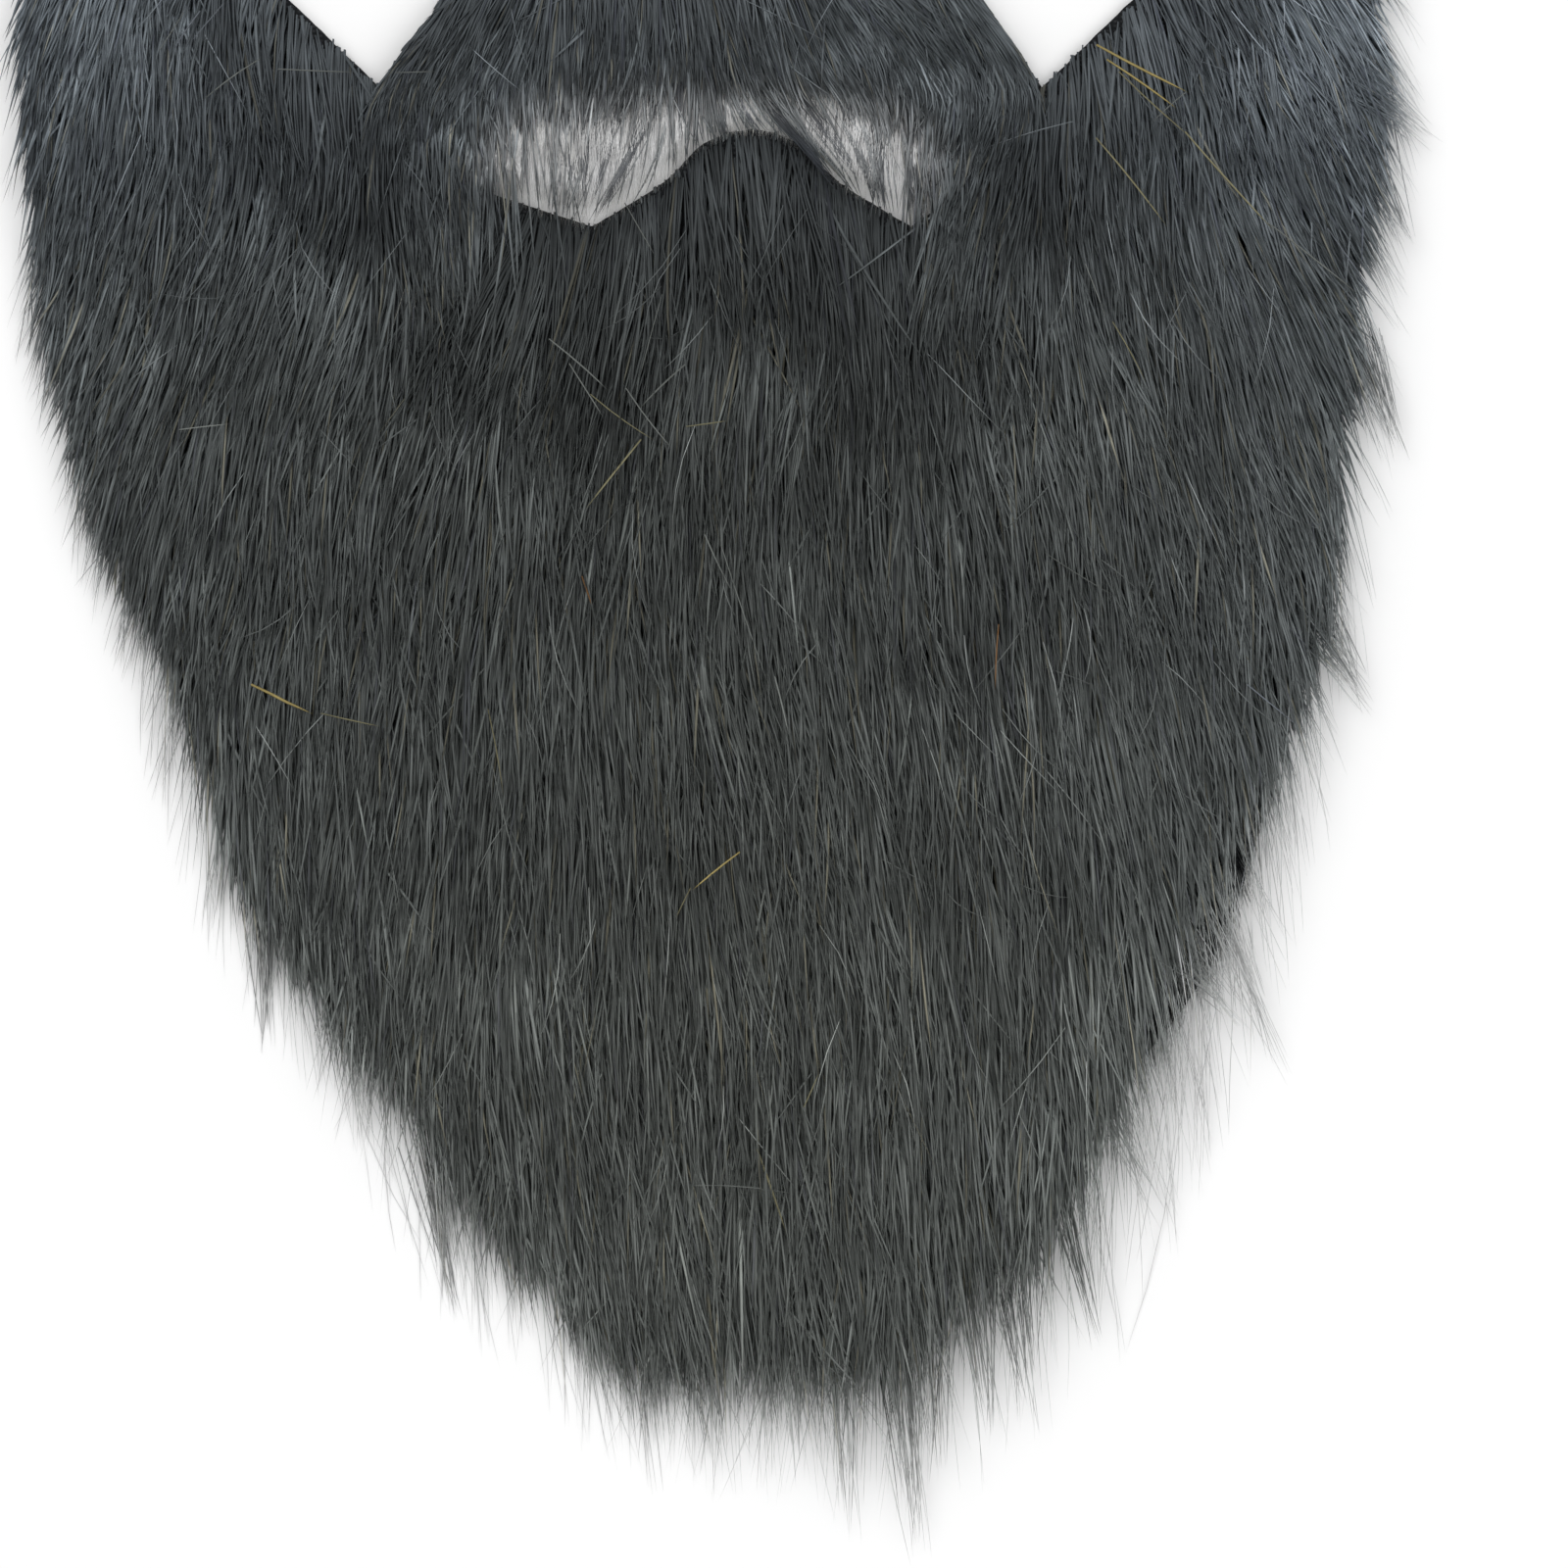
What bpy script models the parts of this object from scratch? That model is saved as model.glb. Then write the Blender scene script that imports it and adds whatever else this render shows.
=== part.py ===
"""Costume beard cut from one sheet of long-pile fur fabric, lying face up on a table.

Metres, +Z up. The origin is on the back of the cloth at the chin, on the centre line.
+X is to the right of the picture, +Y towards the nose, and the cloth's back is at Z = 0.
"""

import math
import random
from collections import namedtuple

import bmesh
import bpy

MM = 0.001

# Gap kept between two pieces that rest on each other
CLEARANCE = 0.3 * MM

# Cloth that the pile is knitted into. Its chin lies a little to the right of the centre line.
CLOTH_THICKNESS = 1.8 * MM
CLOTH_HALF_WIDTH = 122.0 * MM
CLOTH_DROP = 165.0 * MM
CHIN_SHIFT = 11.0 * MM
CHIN_SHIFT_DROP = 120.0 * MM

# Moustache part of the cloth and the two notches beside it
MOUSTACHE_TOP = 89.0 * MM
MOUSTACHE_TOP_HALF_WIDTH = 36.0 * MM
NOTCH_HALF_SPACING = 61.2 * MM
NOTCH_HEIGHT = 56.7 * MM

# Sideburns, from the join with the cheek up to the round ends
SIDEBURN_TOP = 140.0 * MM
SIDEBURN_JOIN_HEIGHT = 82.8 * MM
SIDEBURN_INNER_JOIN = 88.2 * MM
SIDEBURN_INNER_TOP = 96.5 * MM
SIDEBURN_OUTER_TOP = 116.5 * MM

# Mouth opening
MOUTH_HEIGHT = 40.0 * MM
MOUTH_HALF_WIDTH = 49.5 * MM
MOUTH_RISE = 18.5 * MM
LIP_DIP = 9.0 * MM
LIP_PATCH_RISE = 9.0 * MM
LIP_PATCH_HALF_WIDTH = 29.5 * MM
LIP_PATCH_SHIFT = 7.5 * MM

# Pile
PILE_HEIGHT = 15.0 * MM
PILE_EDGE_HEIGHT = 4.0 * MM
PILE_TIP_HEIGHT = 1.8 * MM
PILE_BUILD_UP = 26.0 * MM
PILE_TAPER = 46.0 * MM
PILE_HALF_WIDTH = 130.0 * MM
PILE_DROP = 214.0 * MM
SIDEBURN_OVERHANG = 5.0 * MM
MOUSTACHE_FRINGE_HEIGHT = 54.0 * MM

# Locks of the pile
LOCK_WIDTH = 8.2 * MM
LOCK_RIDGE = 1.3 * MM
LOCK_STEP = 1.9 * MM
LOCK_NOTCH = 9.0 * MM
LOCK_LEAN = 6.0 * MM
DROOP_LENGTH = 16.0 * MM

# Depth of the zigzag where two parts of the pile meet, and how far the moustache's last lock
# reaches past the notch's point
JOIN_NOTCH = 0.6 * LOCK_NOTCH
NOTCH_LOCK = LOCK_WIDTH / 4

# Elastic strap sewn under the ends of the sideburns
STRAP_WIDTH = 10.0 * MM
STRAP_THICKNESS = 1.0 * MM
STRAP_BOW = 15.0 * MM
STRAP_SEWN_LENGTH = 9.0 * MM
STRAP_HEIGHT = 128.0 * MM
STRAP_RAMP = 14.0 * MM

# Layers of steps down each part of the pile, and the rows of corners in a layer as shares of
# its length. A step drops between the last row of a layer and the first of the next.
BEARD_LAYERS = 6
MOUSTACHE_LAYERS = 2
SIDEBURN_LAYERS = 3
LAYER_ROWS = (0.0, 0.5, 0.92)

# Most that a step in the pile lies above or below its neighbours', as a share of its length
LOCK_STAGGER = 0.35

# Share of its whole lean that the sideburn's inner side has half way up, and share of the
# round end's height that the roots in its middle reach
SIDEBURN_HALF_LEAN = 0.75
SIDEBURN_ROOT_RISE = 0.4

# Places in PILE_FULLNESS of the moustache's two ends and of the sideburn's inner side
MOUSTACHE_END_SIDE = 0.7
SIDEBURN_INNER_SIDE = 0.72

# Spacing of corners and tolerance of heights along the cloth's edge
EDGE_STEP = 5.0 * MM
HEIGHT_SLACK = CLEARANCE / 10
ROUND_END_STEPS = 8
STRAP_STATIONS = 24

# Cloth's outer edge from the sideburn's end to the chin. Heights are shares of SIDEBURN_TOP
# above the origin and of CLOTH_DROP below it, and half widths of CLOTH_HALF_WIDTH.
EdgeRow = namedtuple("EdgeRow", "height half_width")
CLOTH_EDGE = (
    EdgeRow(0.771, 0.972),
    EdgeRow(0.500, 1.000),
    EdgeRow(0.260, 0.992),
    EdgeRow(0.090, 0.967),
    EdgeRow(-0.055, 0.938),
    EdgeRow(-0.220, 0.881),
    EdgeRow(-0.440, 0.787),
    EdgeRow(-0.655, 0.656),
    EdgeRow(-0.820, 0.459),
    EdgeRow(-0.945, 0.230),
    EdgeRow(-1.000, 0.000),
)

# Moustache's top edge from the middle to its shoulder. Past the top's half width, sides are
# shares of the way to the notch's point, and drops are shares of the notch's depth.
ShoulderRow = namedtuple("ShoulderRow", "top_side past_top drop")
MOUSTACHE_SHOULDER = (
    ShoulderRow(0.0, 0.0, 0.0),
    ShoulderRow(0.8, 0.0, 0.0),
    ShoulderRow(1.0, 0.2, 0.12),
)

# Mouth's lower edge. Sides are shares of LIP_PATCH_HALF_WIDTH, and heights of LIP_PATCH_RISE
# above MOUTH_HEIGHT and of LIP_DIP below it.
LipRow = namedtuple("LipRow", "side height")
LIP_EDGE = (
    LipRow(-1.00, -1.0),
    LipRow(-0.55, -0.1),
    LipRow(-0.30, 0.7),
    LipRow(0.00, 1.0),
    LipRow(0.30, 0.7),
    LipRow(0.55, -0.1),
    LipRow(1.00, -1.0),
)

# Mouth's upper edge from right to left, in shares of MOUTH_HALF_WIDTH and MOUTH_RISE
ArchRow = namedtuple("ArchRow", "side rise")
MOUTH_ARCH = (
    ArchRow(1.00, 0.0),
    ArchRow(0.75, 0.8),
    ArchRow(0.00, 1.0),
    ArchRow(-0.75, 0.8),
    ArchRow(-1.00, 0.0),
)

# Where the lowest locks end, from the left cheek round the chin to the right cheek. Sides are
# shares of PILE_HALF_WIDTH, and heights of PILE_DROP.
TipRow = namedtuple("TipRow", "side height")
LOCK_TIPS = (
    TipRow(-1.00, 0.219),
    TipRow(-0.956, 0.042),
    TipRow(-0.886, -0.126),
    TipRow(-0.796, -0.261),
    TipRow(-0.679, -0.433),
    TipRow(-0.533, -0.597),
    TipRow(-0.339, -0.740),
    TipRow(-0.145, -0.862),
    TipRow(0.048, -0.934),
    TipRow(0.187, -0.967),
    TipRow(0.284, -1.000),
    TipRow(0.353, -0.959),
    TipRow(0.450, -0.892),
    TipRow(0.602, -0.732),
    TipRow(0.796, -0.556),
    TipRow(0.880, -0.336),
    TipRow(0.942, -0.135),
    TipRow(0.991, 0.126),
    TipRow(1.000, 0.214),
)

# How full the pile is across the beard, as a share of PILE_HEIGHT at shares of PILE_HALF_WIDTH
FullRow = namedtuple("FullRow", "side full")
PILE_FULLNESS = (
    FullRow(0.00, 1.00),
    FullRow(0.55, 0.98),
    FullRow(0.80, 0.84),
    FullRow(0.93, 0.62),
    FullRow(1.00, 0.34),
)

Finish = namedtuple("Finish", "colour roughness")
FINISHES = {
    "knit": Finish((0.020, 0.021, 0.023, 1.0), 0.9),
    "pile": Finish((0.030, 0.034, 0.034, 1.0), 0.5),
    "elastic": Finish((0.012, 0.012, 0.013, 1.0), 0.8),
}


def clear_scene():
    for obj in list(bpy.data.objects):
        bpy.data.objects.remove(obj)


def material(name):
    finish = FINISHES[name]
    made = bpy.data.materials.new(name)
    made.use_nodes = True
    shader = made.node_tree.nodes["Principled BSDF"]
    shader.inputs["Base Color"].default_value = finish.colour
    shader.inputs["Roughness"].default_value = finish.roughness
    shader.inputs["Metallic"].default_value = 0.0
    return made


def add_object(name, bm, finish):
    bmesh.ops.recalc_face_normals(bm, faces=bm.faces)
    mesh = bpy.data.meshes.new(name)
    bm.to_mesh(mesh)
    bm.free()
    mesh.materials.append(finish)
    obj = bpy.data.objects.new(name, mesh)
    bpy.context.scene.collection.objects.link(obj)
    return obj


def interpolate(rows, at):
    """Second column of a table at a value of its first, on straight lines between its rows."""
    rows = sorted(rows)
    if at <= rows[0][0]:
        return rows[0][1]
    for low, high in zip(rows, rows[1:]):
        if at <= high[0]:
            share = (at - low[0]) / (high[0] - low[0])
            return low[1] + share * (high[1] - low[1])
    return rows[-1][1]


def smoothstep(value):
    value = min(max(value, 0.0), 1.0)
    return value * value * (3 - 2 * value)


def curve_through(points, step=EDGE_STEP):
    """A smooth open curve through points, with one corner about every step."""
    ends = [points[0], *points, points[-1]]
    made = [points[0]]
    for a, b, c, d in zip(ends, ends[1:], ends[2:], ends[3:]):
        count = max(1, round(math.dist(b, c) / step))
        for k in range(1, count + 1):
            t = k / count
            made.append(
                tuple(
                    0.5
                    * (
                        2 * q
                        + (r - p) * t
                        + (2 * p - 5 * q + 4 * r - s) * t * t
                        + (3 * q - p - 3 * r + s) * t * t * t
                    )
                    for p, q, r, s in zip(a, b, c, d)
                )
            )
    return made


def cut_at_height(line, height):
    """The line with a corner added where it crosses this height."""
    made = [line[0]]
    for a, b in zip(line, line[1:]):
        if (a[1] - height) * (b[1] - height) < 0:
            share = (height - a[1]) / (b[1] - a[1])
            made.append((a[0] + share * (b[0] - a[0]), height))
        made.append(b)
    return made


def mirrored(line):
    return [(-x, y) for x, y in reversed(line)]


def shifted(line):
    """The line with its part below the origin moved to the chin's side of the centre line."""
    return [(x + CHIN_SHIFT * smoothstep(-y / CHIN_SHIFT_DROP), y) for x, y in line]


# Edges of the cloth, on the right side


def cheek_height(share):
    return share * (SIDEBURN_TOP if share > 0 else CLOTH_DROP)


def outer_edge():
    """From the outer side of the sideburn's round end down to the chin."""
    rows = [
        (row.half_width * CLOTH_HALF_WIDTH, cheek_height(row.height))
        for row in CLOTH_EDGE
    ]
    return curve_through([(SIDEBURN_OUTER_TOP, sideburn_end_height()), *rows])


def sideburn_end_height():
    """Height where the sideburn's straight sides turn into its round end."""
    return SIDEBURN_TOP - (SIDEBURN_OUTER_TOP - SIDEBURN_INNER_TOP) / 2


def inner_edge():
    """From the notch's point up the inner side of the sideburn."""
    middle = (SIDEBURN_JOIN_HEIGHT + sideburn_end_height()) / 2
    whole_lean = SIDEBURN_INNER_TOP - SIDEBURN_INNER_JOIN
    slope = curve_through(
        [
            (SIDEBURN_INNER_JOIN, SIDEBURN_JOIN_HEIGHT),
            (SIDEBURN_INNER_JOIN + SIDEBURN_HALF_LEAN * whole_lean, middle),
            (SIDEBURN_INNER_TOP, sideburn_end_height()),
        ]
    )
    return [(NOTCH_HALF_SPACING, NOTCH_HEIGHT), *slope]


def round_end():
    """Corners of the sideburn's round end, between its two sides."""
    radius = (SIDEBURN_OUTER_TOP - SIDEBURN_INNER_TOP) / 2
    centre = (SIDEBURN_OUTER_TOP + SIDEBURN_INNER_TOP) / 2
    return [
        (
            centre - radius * math.cos(math.pi * k / ROUND_END_STEPS),
            sideburn_end_height() + radius * math.sin(math.pi * k / ROUND_END_STEPS),
        )
        for k in range(1, ROUND_END_STEPS)
    ]


def moustache_edge():
    """From the middle of the moustache's top edge to the notch's point."""
    past_top = NOTCH_HALF_SPACING - MOUSTACHE_TOP_HALF_WIDTH
    depth = MOUSTACHE_TOP - NOTCH_HEIGHT
    top = [
        (
            row.top_side * MOUSTACHE_TOP_HALF_WIDTH + row.past_top * past_top,
            MOUSTACHE_TOP - row.drop * depth,
        )
        for row in MOUSTACHE_SHOULDER
    ]
    return [*curve_through(top), (NOTCH_HALF_SPACING, NOTCH_HEIGHT)]


def mouth_lower_edge():
    """Lower edge of the mouth opening from its left corner to its right one."""
    patch = [
        (
            LIP_PATCH_SHIFT + row.side * LIP_PATCH_HALF_WIDTH,
            MOUTH_HEIGHT + row.height * (LIP_PATCH_RISE if row.height > 0 else LIP_DIP),
        )
        for row in LIP_EDGE
    ]
    left = (-MOUTH_HALF_WIDTH, MOUTH_HEIGHT)
    right = (MOUTH_HALF_WIDTH, MOUTH_HEIGHT)
    return [left, *curve_through(patch, LOCK_WIDTH / 2), right]


def mouth_upper_edge():
    """Upper edge from the right corner back to the left one, under the moustache."""
    return curve_through(
        [
            (row.side * MOUTH_HALF_WIDTH, MOUTH_HEIGHT + row.rise * MOUTH_RISE)
            for row in MOUTH_ARCH
        ]
    )


def mouth_loop():
    return [*mouth_lower_edge(), *mouth_upper_edge()[1:-1]]


def cloth_outline(cuts=()):
    """The cloth's outer edge, with a corner wherever the sideburns cross one of these heights."""
    inner, outer = inner_edge(), outer_edge()
    for height in cuts:
        inner = cut_at_height(inner, height)
        outer = cut_at_height(outer, height)
    right = [*moustache_edge(), *inner[1:], *round_end(), *outer]
    return shifted([*right, *mirrored(right[1:-1])])


def ramp_heights():
    """Heights between which the sideburn climbs onto the strap's sewn end."""
    top = STRAP_HEIGHT - STRAP_WIDTH
    return top - STRAP_RAMP, top


def lift(height):
    """How far the strap's end holds the cloth off the table at this height."""
    low, high = ramp_heights()
    share = min(max((height - low) / (high - low), 0.0), 1.0)
    return share * (STRAP_THICKNESS + CLEARANCE)


# Cloth


def build_cloth(finish):
    low, high = ramp_heights()
    bm = bmesh.new()
    corners = [bm.verts.new((x, y, 0.0)) for x, y in cloth_outline((low, high))]
    hole = [bm.verts.new((x, y, 0.0)) for x, y in mouth_loop()]
    body = list(range(len(corners)))
    for side in (1, -1):
        for bottom in (high, low):
            body = cut_off_sideburn(bm, corners, body, side, bottom)
    rim = [corners[i] for i in body]
    edges = [edge_between(bm, a, b) for a, b in zip(rim, [*rim[1:], rim[0]])]
    edges += [edge_between(bm, a, b) for a, b in zip(hole, [*hole[1:], hole[0]])]
    bmesh.ops.triangle_fill(bm, edges=edges, use_beauty=True)
    bottom_verts = set(bm.verts)
    bmesh.ops.extrude_face_region(bm, geom=list(bm.faces))
    for vert in bm.verts:
        vert.co.z = lift(vert.co.y)
        if vert not in bottom_verts:
            vert.co.z += CLOTH_THICKNESS
    return add_object("backing_cloth", bm, finish)


def edge_between(bm, a, b):
    return bm.edges.get((a, b)) or bm.edges.new((a, b))


def cut_off_sideburn(bm, corners, ring, side, bottom):
    """Makes one face of what lies above this height on one sideburn, and returns the rest."""
    above = [
        i
        for i in ring
        if side * corners[i].co.x > NOTCH_HALF_SPACING
        and corners[i].co.y > bottom - HEIGHT_SLACK
    ]
    start = ring.index(above[0])
    bm.faces.new([corners[i] for i in above])
    return ring[: start + 1] + ring[start + len(above) - 1 :]


# Pile


def inside(polygon, x, y):
    crossings = 0
    for (ax, ay), (bx, by) in zip(polygon, [*polygon[1:], polygon[0]]):
        if (ay > y) != (by > y) and x < ax + (y - ay) / (by - ay) * (bx - ax):
            crossings += 1
    return crossings % 2 == 1


def distance_to(polygon, x, y):
    nearest = math.inf
    for (ax, ay), (bx, by) in zip(polygon, [*polygon[1:], polygon[0]]):
        along = (bx - ax) ** 2 + (by - ay) ** 2
        t = min(max(((x - ax) * (bx - ax) + (y - ay) * (by - ay)) / along, 0.0), 1.0)
        nearest = min(nearest, math.hypot(x - ax - t * (bx - ax), y - ay - t * (by - ay)))
    return nearest


def off_cloth(x, y, outline, mouth):
    """How far a point lies off the cloth, 0 where it lies over the cloth."""
    if inside(outline, x, y) and not inside(mouth, x, y):
        return 0.0
    return min(distance_to(outline, x, y), distance_to(mouth, x, y))


def lock_lines(low, high):
    """Places across the pile from low to high: a groove at each end and between two ridges."""
    count = 2 * max(1, round((high - low) / LOCK_WIDTH))
    return [low + (high - low) * k / count for k in range(count + 1)]


def right_lines():
    """Lines of the right half, with one on each place where two parts of the pile meet."""
    stops = (0.0, MOUTH_HALF_WIDTH, NOTCH_HALF_SPACING, SIDEBURN_INNER_JOIN, PILE_HALF_WIDTH)
    made = [0.0]
    for low, high in zip(stops, stops[1:]):
        made += lock_lines(low, high)[1:]
    return made


def all_lines():
    right = right_lines()
    return [-x for x in reversed(right[1:])] + right


def pile_height(side, from_root, to_tip):
    """Height of the pile over its underside."""
    full = PILE_HEIGHT * interpolate(PILE_FULLNESS, abs(side))
    grown = 1 - math.exp(-from_root / PILE_BUILD_UP)
    height = PILE_EDGE_HEIGHT + (full - PILE_EDGE_HEIGHT) * grown
    tapered = math.sqrt(min(to_tip / PILE_TAPER, 1.0))
    return PILE_TIP_HEIGHT + (height - PILE_TIP_HEIGHT) * tapered


# One groove's or ridge's line down the pile as place(height), the heights of its root and tip,
# its side in PILE_FULLNESS, and the length that the pile has already built up over at its root
Column = namedtuple("Column", "place root tip side grown")


def pile_grid(columns, layers, shares):
    """Corners of the pile seen from above, with the steps of each column a little up or down."""
    chance = random.Random(len(columns))
    grid = []
    for column in columns:
        length = column.root - column.tip
        shift = chance.uniform(-1, 1) * LOCK_STAGGER * length / layers
        line = []
        for share in shares:
            height = column.root - length * share
            line.append((column.place(height), height + shift * math.sin(math.pi * share)))
        grid.append(line)
    return grid


def build_pile(name, columns, layers, finish):
    """One closed solid of locks side by side, which droop to the table past the cloth."""
    outline, mouth = cloth_outline(), mouth_loop()
    shares = [(k + p) / layers for k in range(layers) for p in LAYER_ROWS] + [1.0]
    grid = pile_grid(columns, layers, shares)
    over = [[off_cloth(x, y, outline, mouth) for x, y in line] for line in grid]
    bm = bmesh.new()
    tops, undersides = [], []
    for i, (line, column) in enumerate(zip(grid, columns)):
        ridge = LOCK_RIDGE / 2 if i % 2 else -LOCK_RIDGE / 2
        top, under = [], []
        for j, (x, y) in enumerate(line):
            near = [
                over[a][b]
                for a in range(max(i - 1, 0), min(i + 2, len(grid)))
                for b in range(max(j - 1, 0), min(j + 2, len(line)))
            ]
            drop = smoothstep(over[i][j] / DROOP_LENGTH) if min(near) > 0 else 0.0
            floor = (CLOTH_THICKNESS + CLEARANCE) * (1 - drop) + lift(y)
            height = pile_height(
                column.side, column.grown + abs(column.root - y), abs(y - column.tip)
            )
            down_layer = (shares[j] * layers) % 1.0
            relief = ridge + LOCK_STEP * (down_layer - 0.5)
            room = min(1.0, height / PILE_HEIGHT)
            under.append(bm.verts.new((x, y, floor)))
            top.append(bm.verts.new((x, y, floor + height + relief * room)))
        tops.append(top)
        undersides.append(under)
    skin(bm, tops, undersides)
    return add_object(name, bm, finish)


def skin(bm, tops, undersides):
    """Faces over, under and round a grid of columns."""
    for a, b in zip(tops, tops[1:]):
        for j in range(len(a) - 1):
            bm.faces.new((a[j], b[j], b[j + 1], a[j + 1]))
    for a, b in zip(undersides, undersides[1:]):
        for j in range(len(a) - 1):
            bm.faces.new((a[j + 1], b[j + 1], b[j], a[j]))
    for upper, lower in ((tops[0], undersides[0]), (tops[-1], undersides[-1])):
        for j in range(len(upper) - 1):
            bm.faces.new((upper[j], upper[j + 1], lower[j + 1], lower[j]))
    for j in (0, -1):
        for i in range(len(tops) - 1):
            a, b = tops[i][j], tops[i + 1][j]
            bm.faces.new((a, b, undersides[i + 1][j], undersides[i][j]))


def join_height(number, height):
    """Zigzag line on which the locks of one part end over the next part's roots."""
    return height + (0.0 if number % 2 else JOIN_NOTCH)


def leaning(x, root, tip, lean):
    """A line that runs straight down from its root and leans out towards its tip."""

    def place(height):
        share = (root - height) / (root - tip)
        return x + lean * share * share

    return place


def beard_columns():
    """Lines of the beard below the mouth, from cheek to cheek."""
    lip = mouth_lower_edge()
    slope = [(NOTCH_HALF_SPACING, NOTCH_HEIGHT), (SIDEBURN_INNER_JOIN, SIDEBURN_JOIN_HEIGHT)]
    columns = []
    for number, x in enumerate(all_lines()):
        reach = abs(x)
        if reach < MOUTH_HALF_WIDTH - CLEARANCE:
            root, grown = interpolate(lip, x), 0.0
        elif reach < NOTCH_HALF_SPACING - CLEARANCE:
            root = join_height(number, MOUTH_HEIGHT) - 2 * CLEARANCE
            grown = PILE_BUILD_UP
        elif reach < NOTCH_HALF_SPACING + CLEARANCE:
            root, grown = NOTCH_HEIGHT - NOTCH_LOCK - 2 * CLEARANCE, 0.0
        elif reach < SIDEBURN_INNER_JOIN - CLEARANCE:
            root, grown = interpolate(slope, reach), 0.0
        else:
            root = join_height(number, SIDEBURN_JOIN_HEIGHT) - 2 * CLEARANCE
            grown = PILE_BUILD_UP
        side = x / PILE_HALF_WIDTH
        tip = PILE_DROP * interpolate(LOCK_TIPS, side)
        if number % 2 == 0:
            tip += LOCK_NOTCH
        lean = LOCK_LEAN * max(side, 0.0) ** 2
        columns.append(Column(leaning(x, root, tip, lean), root, tip, side, grown))
    return columns


def fringe_height(x):
    """Height of the moustache's fringe, which arches over the mouth between its corners."""
    share = min(abs(x) / MOUTH_HALF_WIDTH, 1.0)
    return MOUTH_HEIGHT + (MOUSTACHE_FRINGE_HEIGHT - MOUTH_HEIGHT) * math.sqrt(1 - share**3)


def moustache_columns():
    """Lines of the moustache, from its cut top edge to the fringe over the mouth."""
    edge = moustache_edge()
    columns = []
    for number, x in enumerate(all_lines()):
        if abs(x) > NOTCH_HALF_SPACING + CLEARANCE:
            continue
        root = interpolate(edge, abs(x))
        tip = join_height(number, fringe_height(x))
        if abs(x) > NOTCH_HALF_SPACING - CLEARANCE:
            root, tip = NOTCH_HEIGHT, NOTCH_HEIGHT - NOTCH_LOCK
        side = MOUSTACHE_END_SIDE * x / NOTCH_HALF_SPACING
        columns.append(Column(leaning(x, root, tip, 0.0), root, tip, side, 0.0))
    return columns


def sideburn_columns(sign):
    """Lines of one sideburn, spread evenly between the cloth's inner edge and the pile's side."""
    inner, outer = inner_edge(), outer_edge()
    lines = [x for x in right_lines() if x >= SIDEBURN_INNER_JOIN - CLEARANCE]
    first = len(right_lines()) - len(lines) + len(all_lines()) // 2
    rise = SIDEBURN_ROOT_RISE * (SIDEBURN_TOP - sideburn_end_height())
    columns = []
    for offset, x in enumerate(lines):
        share = (x - lines[0]) / (lines[-1] - lines[0])
        root = sideburn_end_height() + rise * (1 - (2 * share - 1) ** 2)
        tip = join_height(first + offset, SIDEBURN_JOIN_HEIGHT)
        place = between_edges(sign, share, inner, outer)
        side = SIDEBURN_INNER_SIDE + (1 - SIDEBURN_INNER_SIDE) * share
        columns.append(Column(place, root, tip, side, 0.0))
    return columns if sign > 0 else columns[::-1]


def between_edges(sign, share, inner, outer):
    """A line up the sideburn, upright where the locks of its join lie between each other."""
    upright_inner = [(y, x) for x, y in inner]
    upright_outer = [(y, x) for x, y in outer]
    join_top = SIDEBURN_JOIN_HEIGHT + JOIN_NOTCH
    joined = PILE_HALF_WIDTH - interpolate(upright_outer, SIDEBURN_JOIN_HEIGHT)

    def place(height):
        down = min((SIDEBURN_TOP - height) / (SIDEBURN_TOP - join_top), 1.0)
        level = SIDEBURN_TOP - down * (SIDEBURN_TOP - SIDEBURN_JOIN_HEIGHT)
        near = interpolate(upright_inner, level)
        far = interpolate(upright_outer, level)
        proud = SIDEBURN_OVERHANG + (joined - SIDEBURN_OVERHANG) * down
        return sign * (near + share * (far + proud - near))

    return place


# Strap


def build_strap(finish):
    """Flat elastic band in a shallow bow between the sideburns, with its ends under them."""
    middle = (SIDEBURN_INNER_TOP + SIDEBURN_OUTER_TOP) / 2
    reach = middle + STRAP_SEWN_LENGTH / 2
    radius = (reach**2 + STRAP_BOW**2) / (2 * STRAP_BOW)
    half_angle = math.asin(reach / radius)
    centre_y = STRAP_HEIGHT - radius * math.cos(half_angle)
    bm = bmesh.new()
    rings = []
    for k in range(STRAP_STATIONS + 1):
        angle = half_angle * (2 * k / STRAP_STATIONS - 1)
        ring = []
        for side, level in ((-1, 0), (1, 0), (1, 1), (-1, 1)):
            away = radius + side * STRAP_WIDTH / 2
            x = away * math.sin(angle)
            y = centre_y + away * math.cos(angle)
            ring.append(bm.verts.new((x, y, level * STRAP_THICKNESS)))
        rings.append(ring)
    for a, b in zip(rings, rings[1:]):
        for j in range(4):
            bm.faces.new((a[j], b[j], b[(j + 1) % 4], a[(j + 1) % 4]))
    bm.faces.new(rings[0])
    bm.faces.new(rings[-1][::-1])
    return add_object("elastic_strap", bm, finish)


def main():
    clear_scene()
    pile = material("pile")
    build_cloth(material("knit"))
    build_pile("beard_pile", beard_columns(), BEARD_LAYERS, pile)
    build_pile("moustache_pile", moustache_columns(), MOUSTACHE_LAYERS, pile)
    build_pile("sideburn_pile_right", sideburn_columns(1), SIDEBURN_LAYERS, pile)
    build_pile("sideburn_pile_left", sideburn_columns(-1), SIDEBURN_LAYERS, pile)
    build_strap(material("elastic"))


main()
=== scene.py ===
"""Costume beard of long-pile fur fabric on a plain surface, seen from straight above.

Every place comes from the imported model: the cloth's cut edges, the height of the pile and the
strap are read from its nodes. Metres, +Z up.
"""

import math
from collections import namedtuple

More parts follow.
